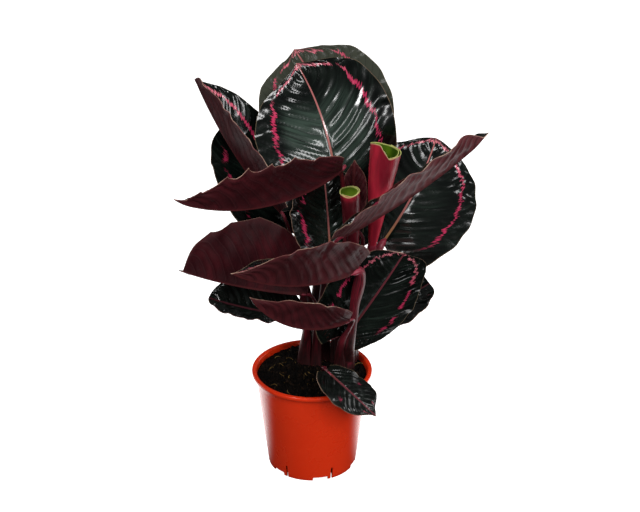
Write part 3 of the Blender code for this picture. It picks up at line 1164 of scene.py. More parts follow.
@dataclass(kw_only=True)
class OpenLeaf(Leaf):
    """One open leaf. A pair is for the left and right halves."""

    base: Triple
    heading: float
    pitch: float
    roll: float
    length: float
    width: float
    bend: float = 0.0
    swing: float = 0.0
    twist: float = 0.0
    fold: Pair = (12.0, 12.0)
    curl: Pair = (0.0, 0.0)
    halves: Pair = (1.0, 1.0)
    point: float = 0.5
    lobe: float = 0.08
    veins: float = 15.0
    ripple: float = 0.9
    wave: Pair = (1.5, 1.5)
    waves: float = 6.0
    hook: Pair = (0.0, 0.0)
    scallop: Pair = (0.0, 0.0)
    # The share of painted silvery sheen on the upper face.
    painted_sheen: float = 0.45
    # How matt the upper face is; a dull leaf also takes a painted olive sheen.
    dull: float = 0.0
    ring: float = 1.0
    ring_at: float = 0.72
    mauve: float = 0.3
    rib: float = 1.0

    SKIN = 0.55 * MM
    RIB = 1.9 * MM
    RIB_REACH = 1.6
    FULLNESS = 0.56
    LEAST_WIDTHS = (1.3, 0.35)
    SPINE_STEPS = 400
    LEAN = 0.46
    CREST = 1.45
    CREST_FLOOR = 0.06
    CREST_SWELL = 0.6
    SWELL = 1.3
    DENT = 0.45
    GROOVE = 0.7
    RING_LENGTH = 0.475
    STALK_GAP = 0.4
    STALK_TAIL = (1.5, 4.0, 8.0)
    TAIL_DEPTH = 0.5
    TAIL_DIVE = 0.08

    def half_widths(self, along: np.ndarray) -> np.ndarray:
        """Return the distance from midrib to margin.

        Args:
            along: Shares of the length.

        Returns:
            One distance per share, in metres.
        """
        power = self.FULLNESS + self.point * smooth(0.72, 1.0, along)
        wide = np.sin(np.pi * along ** 0.85).clip(0.0) ** power * self.width * MM / 2.0
        return np.maximum(wide, np.where(along < 0.5, *self.LEAST_WIDTHS) * MM)

    def axes(self, along: np.ndarray) -> tuple[np.ndarray, np.ndarray, np.ndarray]:
        """Return the midrib's direction, the blade's right and its upper normal.

        Args:
            along: Shares of the length.

        Returns:
            Three arrays of unit vectors.
        """
        tip = smooth(0.88, 1.0, along) ** 1.5
        heading = np.radians(self.heading + self.swing * along)
        pitch = np.radians(self.pitch + self.bend * along + self.hook[0] * tip)
        roll = np.radians(self.roll + self.twist * along + self.hook[1] * tip)[:, None]
        east, north = np.cos(heading), np.sin(heading)
        forward = np.stack([east * np.cos(pitch), north * np.cos(pitch), np.sin(pitch)], axis=-1)
        level = np.stack([north, -east, np.zeros_like(heading)], axis=-1)
        rise = np.cross(level, forward)
        return (forward, level * np.cos(roll) + rise * np.sin(roll),
                rise * np.cos(roll) - level * np.sin(roll))

    def spine(self, along: np.ndarray) -> np.ndarray:
        """Return points of the midrib.

        Args:
            along: Shares of the length.

        Returns:
            One point per share, in metres.
        """
        fine = np.linspace(0.0, 1.0, self.SPINE_STEPS + 1)
        forward = self.axes((fine[1:] + fine[:-1]) / 2.0)[0]
        steps = np.cumsum(forward, axis=0) / self.SPINE_STEPS * self.length * MM
        steps = np.vstack([np.zeros(3), steps]) + np.array(self.base) * MM
        return np.stack([np.interp(along, fine, steps[:, axis]) for axis in range(3)], axis=1)

    def vein_phase(self, along: np.ndarray, across: np.ndarray) -> np.ndarray:
        """Number the side veins: whole numbers lie on a vein.

        Args:
            along: Shares of the length.
            across: Signed shares of the half width.

        Returns:
            The phase at each point.
        """
        reach = np.abs(across)
        bow = along - self.LEAN * (0.62 * reach + 0.38 * reach ** 2.2) * (1.0 - 0.35 * along)
        jitter = 0.006 * drift(along * 3.0, reach * 2.0, self.seed + 40)
        return self.veins * (bow + jitter) + np.where(across < 0.0, 0.37, 0.0) + 20.0

    def relief(self, along: np.ndarray, across: np.ndarray) -> np.ndarray:
        """Return how far the surface stands off the plain blade.

        Args:
            along: Shares of the length.
            across: Signed shares of the half width.

        Returns:
            Heights towards the upper face, in metres.
        """
        reach = np.abs(across)
        left = across < 0.0
        ends = smooth(0.0, 0.1, along) * smooth(1.0, 0.9, along)
        body = smooth(0.02, 0.2, reach) * (1.0 - 0.8 * smooth(0.8, 1.0, reach)) * ends
        phase = self.vein_phase(along, across)
        crest = np.sqrt(np.sin(np.pi * phase) ** 2 + self.CREST_FLOOR)
        crest *= 1.0 + self.CREST_SWELL * drift(phase * 1.1, reach * 1.2, self.seed + 17)
        start = np.where(left, 0.0, 1.9)
        beat = np.pi * self.waves * (along + 0.03 * drift(along * 2.0, reach * 0.0, self.seed + 3))
        wave = 1.3 * np.abs(np.sin(beat + start + self.seed)) - 0.8
        wave += 0.35 * np.sin(2.9 * beat + 2.1 * self.seed + start)
        wave *= np.where(left, *self.wave) * smooth(0.5, 1.0, reach) ** 1.5
        return MM * (
            self.CREST * self.ripple * (crest - 0.6) * body
            + wave * ends
            + self.SWELL * drift(along, across, self.seed) * smooth(0.05, 0.6, reach) * ends
            + self.DENT * drift(along * 3.1, across * 2.3, self.seed + 30) * body
            - self.GROOVE * bell(reach * self.half_widths(along) / MM, 0.0, 1.5) * ends)

    def surface(self, along: np.ndarray, across: np.ndarray) -> np.ndarray:
        """Lay the blade out as a grid of points.

        Args:
            along: Shares of the length, one per row.
            across: Signed shares of the half width, one per column.

        Returns:
            An array of rows, columns and x, y, z.
        """
        forward, right, up = (axis[:, None, :] for axis in self.axes(along))
        left = across < 0.0
        half, fold, curl, scallop = (
            np.where(left, *pair) for pair in (self.halves, self.fold, self.curl, self.scallop))
        lift = np.radians(fold + curl * np.abs(across) / 2.0)
        wide = self.half_widths(along)
        rows, columns = np.meshgrid(along, across, indexing="ij")
        outer = np.abs(columns) ** 3
        nick = 1.0 + 0.01 * drift(rows * 3.0, columns, self.seed + 9) * outer
        beat = np.abs(np.sin(np.pi * (self.waves * rows ** 1.9 + 0.1 * drift(rows, rows, self.seed))))
        cusp = scallop * (0.55 - beat ** 0.8) * outer
        cusp *= smooth(0.02, 0.12, rows) * smooth(1.0, 0.93, rows) * MM
        reach = wide[:, None] * (np.abs(across) * half)[None, :] * nick + cusp
        sideways = (np.where(left, -1.0, 1.0) * np.cos(lift))[None, :, None]
        sideways = right * sideways + up * np.sin(lift)[None, :, None]
        points = self.spine(along)[:, None, :] + sideways * reach[:, :, None]
        opened = np.minimum(1.0, wide / (0.35 * self.width * MM / 2.0)) ** 2
        back = (self.lobe * self.length * MM * (1.0 - along) ** 3 * opened)[:, None]
        points -= forward * (back * np.abs(across) ** 1.5)[:, :, None]
        normal = unit(np.cross(np.gradient(points, axis=1), np.gradient(points, axis=0)), 1e-12)
        return points + normal * self.relief(rows, columns)[:, :, None]

    def ring_distance(self, along: np.ndarray, across: np.ndarray) -> np.ndarray:
        """Return the distance to the pink ring's middle line.

        Args:
            along: Shares of the length.
            across: Signed shares of the half width.

        Returns:
            Distances in millimetres, negative inside the ring.
        """
        share = np.abs((along - 0.5) / self.RING_LENGTH)
        level = (across / self.ring_at) ** 2 + share ** 7 - 1.0
        wide = self.half_widths(along) / MM
        by_across = 2.0 * np.abs(across) / self.ring_at ** 2 / np.maximum(wide, 3.0)
        by_along = 7.0 * share ** 6 / self.RING_LENGTH / self.length
        return level / np.sqrt(by_across ** 2 + by_along ** 2 + 1e-5)

    def model(self, piece: Piece, along: np.ndarray, across: np.ndarray, wardrobe: Wardrobe) -> None:
        """Give the laid grid its notes, its finishes and its two skins, thicker along the midrib.

        Args:
            piece: The grid.
            along: Shares of the length at its points.
            across: Signed shares of the half width at its points.
            wardrobe: The finishes.
        """
        wide = self.half_widths(along) / MM * np.where(across < 0.0, *self.halves)
        rib = np.abs(across) * wide
        note(piece, "blade_place", across, along, self.vein_phase(along, across))
        note(piece, "blade_reach", rib, wide - rib, self.ring_distance(along, across))
        # The seed, the share of painted silvery sheen and the ring's share.
        note(piece, "leaf_seed_painted_sheen_ring", self.seed * 7.3, self.painted_sheen, self.ring)
        # The dullness, which also brings in a painted olive sheen, then the mauve and the rib's share.
        note(piece, "leaf_tints", self.dull, self.mauve, self.rib)
        dress(piece, wardrobe[Dress.UPPER], wardrobe[Dress.UNDER], wardrobe[Dress.RIM])
        ribs = piece.vertex_groups.new(name="rib")
        weight = bell(rib, 0.0, self.RIB_REACH) * (1.0 - 0.75 * along)
        for index in np.nonzero(weight > 0.01)[0]:
            ribs.add([int(index)], float(weight[index]), "REPLACE")
        modify(piece, "SOLIDIFY", thickness=self.RIB, offset=-1.0, vertex_group="rib",
               thickness_vertex_group=self.SKIN / self.RIB, material_offset=Skin.UNDER.value,
               material_offset_rim=Skin.RIM.value)

    def socket(self) -> tuple[np.ndarray, np.ndarray, list[np.ndarray]]:
        """Find where the stalk meets the midrib.

        Returns:
            Where the stalk ends, its direction there, and its points inside the blade.
        """
        forward, _, up = (axis[0] for axis in self.axes(np.array([0.0, 0.01])))
        end = np.array(self.base) - forward * self.STALK_GAP
        tail = [end + forward * step - up * (self.TAIL_DEPTH + self.TAIL_DIVE * step)
                for step in self.STALK_TAIL]
        return end, forward, tail


@dataclass(kw_only=True)
class RolledLeaf(Leaf):
    """A new leaf, still rolled: a spiral sheet round its axis with a slanted, notched mouth."""

    bottom: Triple
    top: Triple
    bottom_radius: float
    mouth_radius: float
    turns: float
    start: float
    rim: tuple[Pair, ...]
    # The share of painted shade on the roll below its mouth.
    shaded: float = 0.0
    stem: Pair = (2.8, 2.6)

    SLOT = "leaf_under"
    ROWS = 70
    COLUMNS = 110
    EASE = 0.0
    SKIN = 0.6 * MM
    TIGHT = 0.2
    CREASES = 14.0
    CREASE_DEPTH = 0.25
    STALK_TAIL = (4.0, 9.0, 15.0)

    def axis(self) -> tuple[np.ndarray, np.ndarray, float]:
        """Measure the roll's axis.

        Returns:
            Its lower end, its direction and its length.
        """
        bottom = np.array(self.bottom, float)
        span = np.array(self.top, float) - bottom
        return bottom, unit(span), np.linalg.norm(span)

    def surface(self, along: np.ndarray, across: np.ndarray) -> np.ndarray:
        """Lay the rolled sheet out as a grid of points.

        Args:
            along: Shares of the length, one per row.
            across: Signed shares of the sheet's half width, one per column.

        Returns:
            An array of rows, columns and x, y, z.
        """
        bottom, axis, length = self.axis()
        first = unit(np.cross((0.0, 1.0, 0.0), axis))
        second = np.cross(axis, first)
        share, sheet = np.meshgrid(along, (across + 1.0) / 2.0, indexing="ij")
        angle = math.radians(self.start) + TURN * self.turns * sheet
        flare = share ** 0.9
        radius = self.bottom_radius + (self.mouth_radius - self.bottom_radius) * flare
        radius = radius * (1.0 - self.TIGHT * (1.0 - sheet) * (0.35 + 0.65 * flare))
        radius = radius + 0.35 * drift(share, sheet * 2.0, self.seed) * flare
        crease = np.abs(np.sin(self.CREASES * np.pi * (sheet * 0.8 + share * 0.55)))
        radius = radius - self.CREASE_DEPTH * crease * flare
        rise = np.interp(np.degrees(angle), *zip(*self.rim), period=360.0)
        rise = rise + 0.5 * drift(sheet * 3.0, share * 0.0, self.seed + 2)
        height = length * share + rise * smooth(0.55, 1.0, share) * share
        return (bottom + axis * height[:, :, None]
                + first * (radius * np.cos(angle))[:, :, None]
                + second * (radius * np.sin(angle))[:, :, None]) * MM

    def model(self, piece: Piece, along: np.ndarray, across: np.ndarray, wardrobe: Wardrobe) -> None:
        """Give the rolled grid its notes, its finishes and its two skins.

        Args:
            piece: The grid.
            along: Shares of the length at its points.
            across: Signed shares of the sheet's half width at its points.
            wardrobe: The finishes.
        """
        around = (across + 1.0) / 2.0
        wrap = TURN * self.turns * self.mouth_radius * np.maximum(along, 0.2)
        edge = np.minimum((1.0 - along) * self.axis()[2], np.minimum(around, 1.0 - around) * wrap)
        note(piece, "roll_place", around, along, self.seed * 5.1)
        # The second part is the painted shade share, none at the mouth.
        note(piece, "roll_edge_and_shade", edge, self.shaded * smooth(1.0, 0.9, along), 0.0)
        dress(piece, wardrobe[Dress.ROLL_OUTSIDE], wardrobe[Dress.ROLL_INSIDE])
        modify(piece, "SOLIDIFY", thickness=self.SKIN, offset=-1.0,
               material_offset=Skin.UNDER.value, material_offset_rim=Skin.UNDER.value)

    def socket(self) -> tuple[np.ndarray, np.ndarray, list[np.ndarray]]:
        """Return where the stalk ends, its direction there, and its points inside the roll."""
        bottom, axis, _ = self.axis()
        return bottom, axis, [bottom + axis * step for step in self.STALK_TAIL]


def hand_over(piece: Piece, slot: str, *nodes: str) -> None:
    """Let a finished piece ride on the body and stand for its CAD nodes.

    Args:
        piece: The finished piece.
        slot: Not used.
        *nodes: The CAD nodes that it replaces.
    """
    settle(piece)
    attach(piece, ROOT)
    if nodes:
        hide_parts(*nodes)
    LOG.info("%s: %d faces", piece.name, len(piece.data.polygons))


# ---------------------------------------------------------------- pot and soil


@dataclass
class NurseryPot:
    """A tapered round pot with a rolled lip, a foot ring with notches, and drainage."""

    height: float = 105.0
    lip_radius: float = 60.0
    wall_top: float = 56.6
    foot_radius: float = 44.2
    wall: float = 1.4
    floor: float = 5.0
    centre_foot: float = 12.0
    sides: int = 144
    notches: int = 6
    first_notch: float = -79.0
    notch_size: Pair = (15.0, 4.0)
    slot_turn: float = 15.0
    slot_size: Pair = (2.0, 14.0)
    cut_depth: float = 8.0
    cut_round: float = 0.7
    hole_radius: float = 4.5
    hole_circle: float = 30.0
    smooth_below: float = 32.0

    LIP = ((1.1, 0.05), (0.45, 0.35), (0.1, 0.95), (0.0, 1.7), (0.1, 3.0), (0.4, 3.7), (1.0, 4.1),
           (2.2, 4.2))
    FOOT = ((0.1, 0.6), (0.5, 0.1), (1.0, 0.0), (1.6, 0.1), (1.9, 0.6))
    INSIDE_LEVELS = (8.0, 30.0, 60.0, 85.0, 98.0, 102.5)
    OUTSIDE_LEVELS = (92.0, 70.0, 45.0, 20.0, 6.0, 1.6)

    def outer(self, height: float) -> float:
        """Return the wall's outer radius at a height."""
        return self.foot_radius + (self.wall_top - self.foot_radius) * height / self.height

    def profile(self) -> list[Pair]:
        """Lay out the outline from inside the base, up, over the lip, and down to the centre foot.

        Returns:
            Radii and heights in millimetres.
        """
        top, inside, middle = self.height, self.wall, self.centre_foot
        edge = self.outer(top)
        return [
            (middle - 0.7, inside),
            (middle + 0.8, self.floor + inside),
            (self.outer(7.0) - inside - 1.0, self.floor + inside),
            *((self.outer(level) - inside, level) for level in self.INSIDE_LEVELS),
            (edge - inside + 0.25, top - 0.9),
            (edge - inside + 0.9, top - 0.25),
            (edge + 0.4, top),
            *((self.lip_radius - inwards, top - down) for inwards, down in self.LIP),
            (self.outer(100.0) + 0.5, 100.6),
            (self.outer(100.0) + 0.05, 99.8),
            *((self.outer(level), level) for level in self.OUTSIDE_LEVELS),
            *((self.foot_radius - inwards, up) for inwards, up in self.FOOT),
            (self.foot_radius - 1.9, self.floor - 0.6),
            (self.foot_radius - 2.5, self.floor),
            (middle + 1.6, self.floor),
            (middle, 0.2),
            (middle - 0.4, 0.0),
        ]

    def build_shell(self) -> Piece:
        """Model the shell: one ring of edges, extruded and resized along the outline.

        Returns:
            The shell, closed.
        """
        outline = self.profile()
        radius, height = outline[0]
        piece = add(bpy.ops.mesh.primitive_circle_add, "nursery_pot", vertices=self.sides,
                    radius=radius * MM, fill_type="NGON", location=(0.0, 0.0, height * MM))
        with editing(piece):
            bpy.ops.mesh.region_to_loop()
            for next_radius, next_height in outline[1:]:
                up = (0.0, 0.0, (next_height - height) * MM)
                bpy.ops.mesh.extrude_edges_move(TRANSFORM_OT_translate={"value": up})
                grow = next_radius / radius
                bpy.ops.transform.resize(value=(grow, grow, 1.0))
                radius, height = next_radius, next_height
            bpy.ops.mesh.edge_face_add()
        outward(piece)
        return piece

    def build_cutters(self) -> list[Piece]:
        """Model the bodies that open the notches, slots and drain holes.

        Returns:
            The cutters.
        """
        cutters = []
        reach = self.foot_radius - 0.5
        for index in range(self.notches):
            angle = math.radians(self.first_notch + index * 360.0 / self.notches)
            turned = angle + math.radians(self.slot_turn)
            for at, (wide, top) in ((angle, self.notch_size), (turned, self.slot_size)):
                middle = (reach * math.cos(at) * MM, reach * math.sin(at) * MM, (top - 1.0) / 2.0 * MM)
                cutter = add(bpy.ops.mesh.primitive_cube_add, "cutter", size=1.0, location=middle,
                             rotation=(0.0, 0.0, at),
                             scale=(self.cut_depth * MM, wide * MM, (top + 1.0) * MM))
                modify(cutter, "BEVEL", width=self.cut_round * MM, segments=3)
                cutters.append(cutter)
            at = angle + math.pi / self.notches
            middle = Vector((math.cos(at), math.sin(at), 0.0)) * self.hole_circle * MM
            middle.z = self.floor * MM
            cutters.append(add(bpy.ops.mesh.primitive_cylinder_add, "cutter", vertices=32,
                               radius=self.hole_radius * MM, depth=6.0 * MM, location=middle))
        return cutters

    def build(self, wardrobe: Wardrobe) -> None:
        """Build, cut, dress and hand over the pot.

        Args:
            wardrobe: The finishes.
        """
        pot = self.build_shell()
        take(*self.build_cutters())
        bpy.ops.object.join()
        tool = bpy.context.object
        modify(pot, "BOOLEAN", operation="DIFFERENCE", solver="EXACT", object=tool)
        bpy.data.objects.remove(tool)
        dress(pot, wardrobe[Dress.POT])
        shade(pot, self.smooth_below)
        hand_over(pot, "pot_plastic", "pot")


@dataclass
class PottingMix:
    """The soil in the pot: a lumpy domed body, with bark bits, pale grit and root fibres on it."""

    pot: NurseryPot
    stems: list[Pair]
    edge_height: float = 100.2
    crown_height: float = 106.5
    wall_gap: float = 0.35
    wall_dip: Pair = (1.2, 5.0)
    floor_gap: float = 0.4
    floor_margin: float = 1.6
    heap: Pair = (1.3, 4.5)
    heap_most: float = 2.4
    cells: int = 150
    lumps: tuple[tuple[float, Pair], ...] = ((1.2, (14.0, 11.0)), (1.1, (5.0, 4.0)), (0.8, (1.9, 1.4)))
    humps: tuple[tuple[float, Pair, Pair], ...] = (
        (6.5, (10.0, 42.0), (27.0, 13.0)),
        (2.5, (-14.0, 20.0), (10.0, 12.0)),
    )
    bark_count: int = 420
    bark_size: Pair = (0.5, 1.9)
    bark_shrink: Pair = (0.6, 1.0)
    bark_thickness: Pair = (0.35, 0.9)
    bark_stretch: Pair = (1.0, 2.2)
    grit_count: int = 34
    grit_size: Pair = (0.6, 1.5)
    bits_reach: float = 51.0
    bits_lift: float = 0.15
    bits_jitter: Pair = (0.7, 1.3)
    fibre_count: int = 46
    fibre_reach: float = 48.0
    fibre_length: Pair = (4.0, 11.0)
    fibre_turn: Pair = (-1.2, 1.2)
    fibre_arch: Pair = (0.3, 2.0)
    fibre_width: Pair = (0.18, 0.42)
    fibre_lift: float = 0.2
    seed: int = 11

    def reach(self, height: float) -> float:
        """Return the pot's inner radius at a height."""
        return self.pot.outer(height) - self.pot.wall

    def top(self, east: np.ndarray, north: np.ndarray) -> np.ndarray:
        """Return the height of the soil's top.

        Args:
            east: x in millimetres.
            north: y in millimetres.

        Returns:
            z in millimetres.
        """
        full = self.reach(self.edge_height)
        radius = np.hypot(east, north)
        dome = self.edge_height + (self.crown_height - self.edge_height) * (1.0 - (radius / full) ** 2)
        lumps = sum(size * drift(east / wide, north / deep, self.seed + index)
                    for index, (size, (wide, deep)) in enumerate(self.lumps))
        humps = sum(size * np.exp(-(((east - x) / wide) ** 2 + ((north - y) / deep) ** 2))
                    for size, (x, y), (wide, deep) in self.humps)
        rise, width = self.heap
        heap = sum(rise * bell(np.hypot(east - x, north - y), 0.0, width) for x, y in self.stems)
        depth, margin = self.wall_dip
        dip = depth * smooth(full - margin, full, radius)
        lumps = lumps * smooth(full, full - 4.0, radius)
        return dome + lumps + humps + np.minimum(heap, self.heap_most) - dip

    def build_body(self) -> Piece:
        """Model the body: a round grid lowered to its heights, with walls down to the pot's floor.

        Returns:
            The body.
        """
        cells = self.cells
        piece = add(bpy.ops.mesh.primitive_grid_add, "potting_soil", x_subdivisions=cells,
                    y_subdivisions=cells, size=2.0)
        x, y, _ = coordinates(piece).T
        full = self.reach(self.edge_height) - self.wall_gap
        east = x * np.sqrt(np.maximum(1.0 - y ** 2 / 2.0, 0.0)) * full
        north = y * np.sqrt(np.maximum(1.0 - x ** 2 / 2.0, 0.0)) * full
        place(piece, np.stack([east, north, self.top(east, north)], axis=1) * MM)
        floor = self.pot.floor + self.pot.wall + self.floor_gap
        down = (0.0, 0.0, (floor - self.edge_height) * MM)
        grow = (self.reach(floor) - self.floor_margin) / full
        with editing(piece):
            bpy.ops.mesh.region_to_loop()
            bpy.ops.mesh.extrude_edges_move(TRANSFORM_OT_translate={"value": down})
            bpy.ops.transform.resize(value=(grow, grow, 0.0))
            bpy.ops.mesh.edge_face_add()
        outward(piece)
        return piece

    def scatter(self, draw: random.Random, most: float) -> Triple:
        """Choose a place on the soil.

        Args:
            draw: The dice.
            most: Greatest distance from the axis, in millimetres.

        Returns:
            x, y and z in millimetres.
        """
        radius = math.sqrt(draw.uniform(0.0, most ** 2))
        angle = draw.uniform(0.0, TURN)
        east, north = radius * math.cos(angle), radius * math.sin(angle)
        return east, north, float(self.top(np.array([east]), np.array([north]))[0])

    def build_bits(self) -> Piece:
        """Model one lump, copy it over the soil as bark and grit, and join the copies.

        Returns:
            The bits, with bark as their first material and grit as their second.
        """
        draw = random.Random(self.seed)
        lump = add(bpy.ops.mesh.primitive_ico_sphere_add, "soil_bits", subdivisions=1, radius=1.0)
        shape = coordinates(lump)
        copies = []
        for index in range(self.bark_count + self.grit_count):
            grit = index >= self.bark_count
            copy = copied(lump)
            place(copy, shape * np.array([[draw.uniform(*self.bits_jitter)] for _ in shape]))
            east, north, high = self.scatter(draw, self.bits_reach)
            size = draw.uniform(*(self.grit_size if grit else self.bark_size))
            size *= 1.0 if grit else draw.uniform(*self.bark_shrink)
            copy.location = Vector((east, north, high + self.bits_lift * size)) * MM
            copy.rotation_euler = [draw.uniform(0.0, 6.28) for _ in range(3)]
            flat = 1.0 if grit else draw.uniform(*self.bark_thickness)
            long = 1.0 if grit else draw.uniform(*self.bark_stretch)
            copy.scale = Vector((long, 1.0, flat)) * size * MM
            for polygon in copy.data.polygons:
                polygon.material_index = int(grit)
            copies.append(copy)
        return joined(copies, lump)

    def build_fibres(self) -> Piece:
        """Model one fibre, copy it bent over the soil, and join the copies.

        Returns:
            The fibres.
        """
        draw = random.Random(self.seed + 5)
        fibre = add(bpy.ops.mesh.primitive_cylinder_add, "soil_fibres", vertices=4, radius=1.0,
                    depth=1.0, location=(0.0, 0.0, 0.5))
        with editing(fibre):
            bpy.ops.mesh.subdivide(number_cuts=3)
        shape = coordinates(fibre)
        share = np.linspace(0.0, 1.0, 9)
        copies = []
        for _ in range(self.fibre_count):
            east, north, high = self.scatter(draw, self.fibre_reach)
            angle = draw.uniform(0.0, TURN)
            length = draw.uniform(*self.fibre_length)
            heading = angle + draw.uniform(*self.fibre_turn) * share
            arch = draw.uniform(*self.fibre_arch) * np.sin(np.pi * share)
            route = np.stack([east + length * share * np.cos(heading),
                              north + length * share * np.sin(heading),
                              high + self.fibre_lift + arch], axis=1)
            width = draw.uniform(*self.fibre_width) * MM
            copy = copied(fibre)
            place(copy, sweep(shape, route * MM, lambda at: [width * (1.0 - 0.5 * at)] * 2))
            copies.append(copy)
        return joined(copies, fibre)

    def build(self, wardrobe: Wardrobe) -> None:
        """Build, dress and hand over the soil and what lies on it.

        Args:
            wardrobe: The finishes.
        """
        body = self.build_body()
        dress(body, wardrobe[Dress.SOIL])
        shade(body, 80.0)
        hand_over(body, "soil_mix", "soil")
        bits = self.build_bits()
        dress(bits, wardrobe[Dress.BARK], wardrobe[Dress.GRIT])
        shade(bits, 20.0)
        hand_over(bits, "soil_mix")
        fibres = self.build_fibres()
        dress(fibres, wardrobe[Dress.FIBRE])
        shade(fibres, 80.0)
        hand_over(fibres, "soil_mix")


# ---------------------------------------------------------------- studio


@dataclass(frozen=True)
class Lamp:
    """A soft rectangular light, aimed at the plant."""

    name: str
    place: Triple
    aim: float
    size: Pair
    power: float

    def build(self) -> None:
        """Add the light, aimed at a height on the pot's axis."""
        deselect()
        bpy.ops.object.light_add(type="AREA", location=self.place)
        lamp = bpy.context.object
        lamp.name = self.name
        lamp.data.shape = "RECTANGLE"
        lamp.data.size, lamp.data.size_y = self.size
        lamp.data.energy = self.power
        direction = Vector((0.0, 0.0, self.aim)) - Vector(self.place)
        lamp.rotation_euler = direction.to_track_quat("-Z", "Y").to_euler()


@dataclass
class Studio:
    """The floor, the lights and the camera, in metres and watts."""

    distance: float = 1.5
    eye_height: float = 0.971
    eye_east: float = 0.008
    down: float = 26.3
    lens: float = 97.4
    sensor: float = 36.0
    far: float = 50.0
    floor_size: float = 12.0
    lamps: tuple[Lamp, ...] = (
        Lamp("key", (-0.45, -1.45, 1.5), 0.22, (0.34, 0.34), 14.0),
        Lamp("side", (1.25, -1.15, 0.8), 0.22, (0.16, 1.1), 9.0),
        Lamp("overhead", (-0.5, 0.35, 1.7), 0.22, (0.2, 0.9), 9.0),
        Lamp("upper_right", (1.0, -0.05, 1.5), 0.3, (0.16, 0.9), 6.0),
        Lamp("front_right_strip", (0.6, -1.35, 1.1), 0.25, (0.16, 0.9), 8.0),
        Lamp("front_left_strip", (-0.85, -1.3, 0.8), 0.25, (0.12, 0.5), 3.0),
        Lamp("left_card", (-1.1, 0.75, 0.4), 0.1, (0.5, 0.7), 2.0),
        Lamp("right_card", (1.1, 0.75, 0.4), 0.1, (0.5, 0.7), 2.0),
    )
    ambient: float = 0.07

    def build(self, wardrobe: Wardrobe) -> None:
        """Set up the studio.

        Args:
            wardrobe: The finishes.
        """
        floor = add(bpy.ops.mesh.primitive_plane_add, "studio_floor", size=self.floor_size)
        dress(floor, wardrobe[Dress.FLOOR])
        for lamp in self.lamps:
            lamp.build()
        world = bpy.data.worlds.new("studio")
        world.use_nodes = True
        pen = Pen(world.node_tree)
        seen = pen.wire("ShaderNodeLightPath", output="Is Camera Ray")
        pen.feed(world.node_tree.nodes["Background"],
                 {"Color": (1.0, 1.0, 1.0, 1.0), "Strength": seen * (1.0 - self.ambient) + self.ambient})
        deselect()
        bpy.ops.object.camera_add(location=(self.eye_east, -self.distance, self.eye_height),
                                  rotation=(math.radians(90.0 - self.down), 0.0, 0.0))
        camera = bpy.context.object
        camera.name = "viewer"
        camera.data.lens = self.lens
        camera.data.sensor_width = self.sensor
        camera.data.clip_end = self.far
        scene = bpy.context.scene
        scene.camera = camera
        scene.world = world
        scene.view_settings.view_transform = "Standard"
        LOG.info("studio: %d lamps", len(self.lamps))


# ---------------------------------------------------------------- the plant


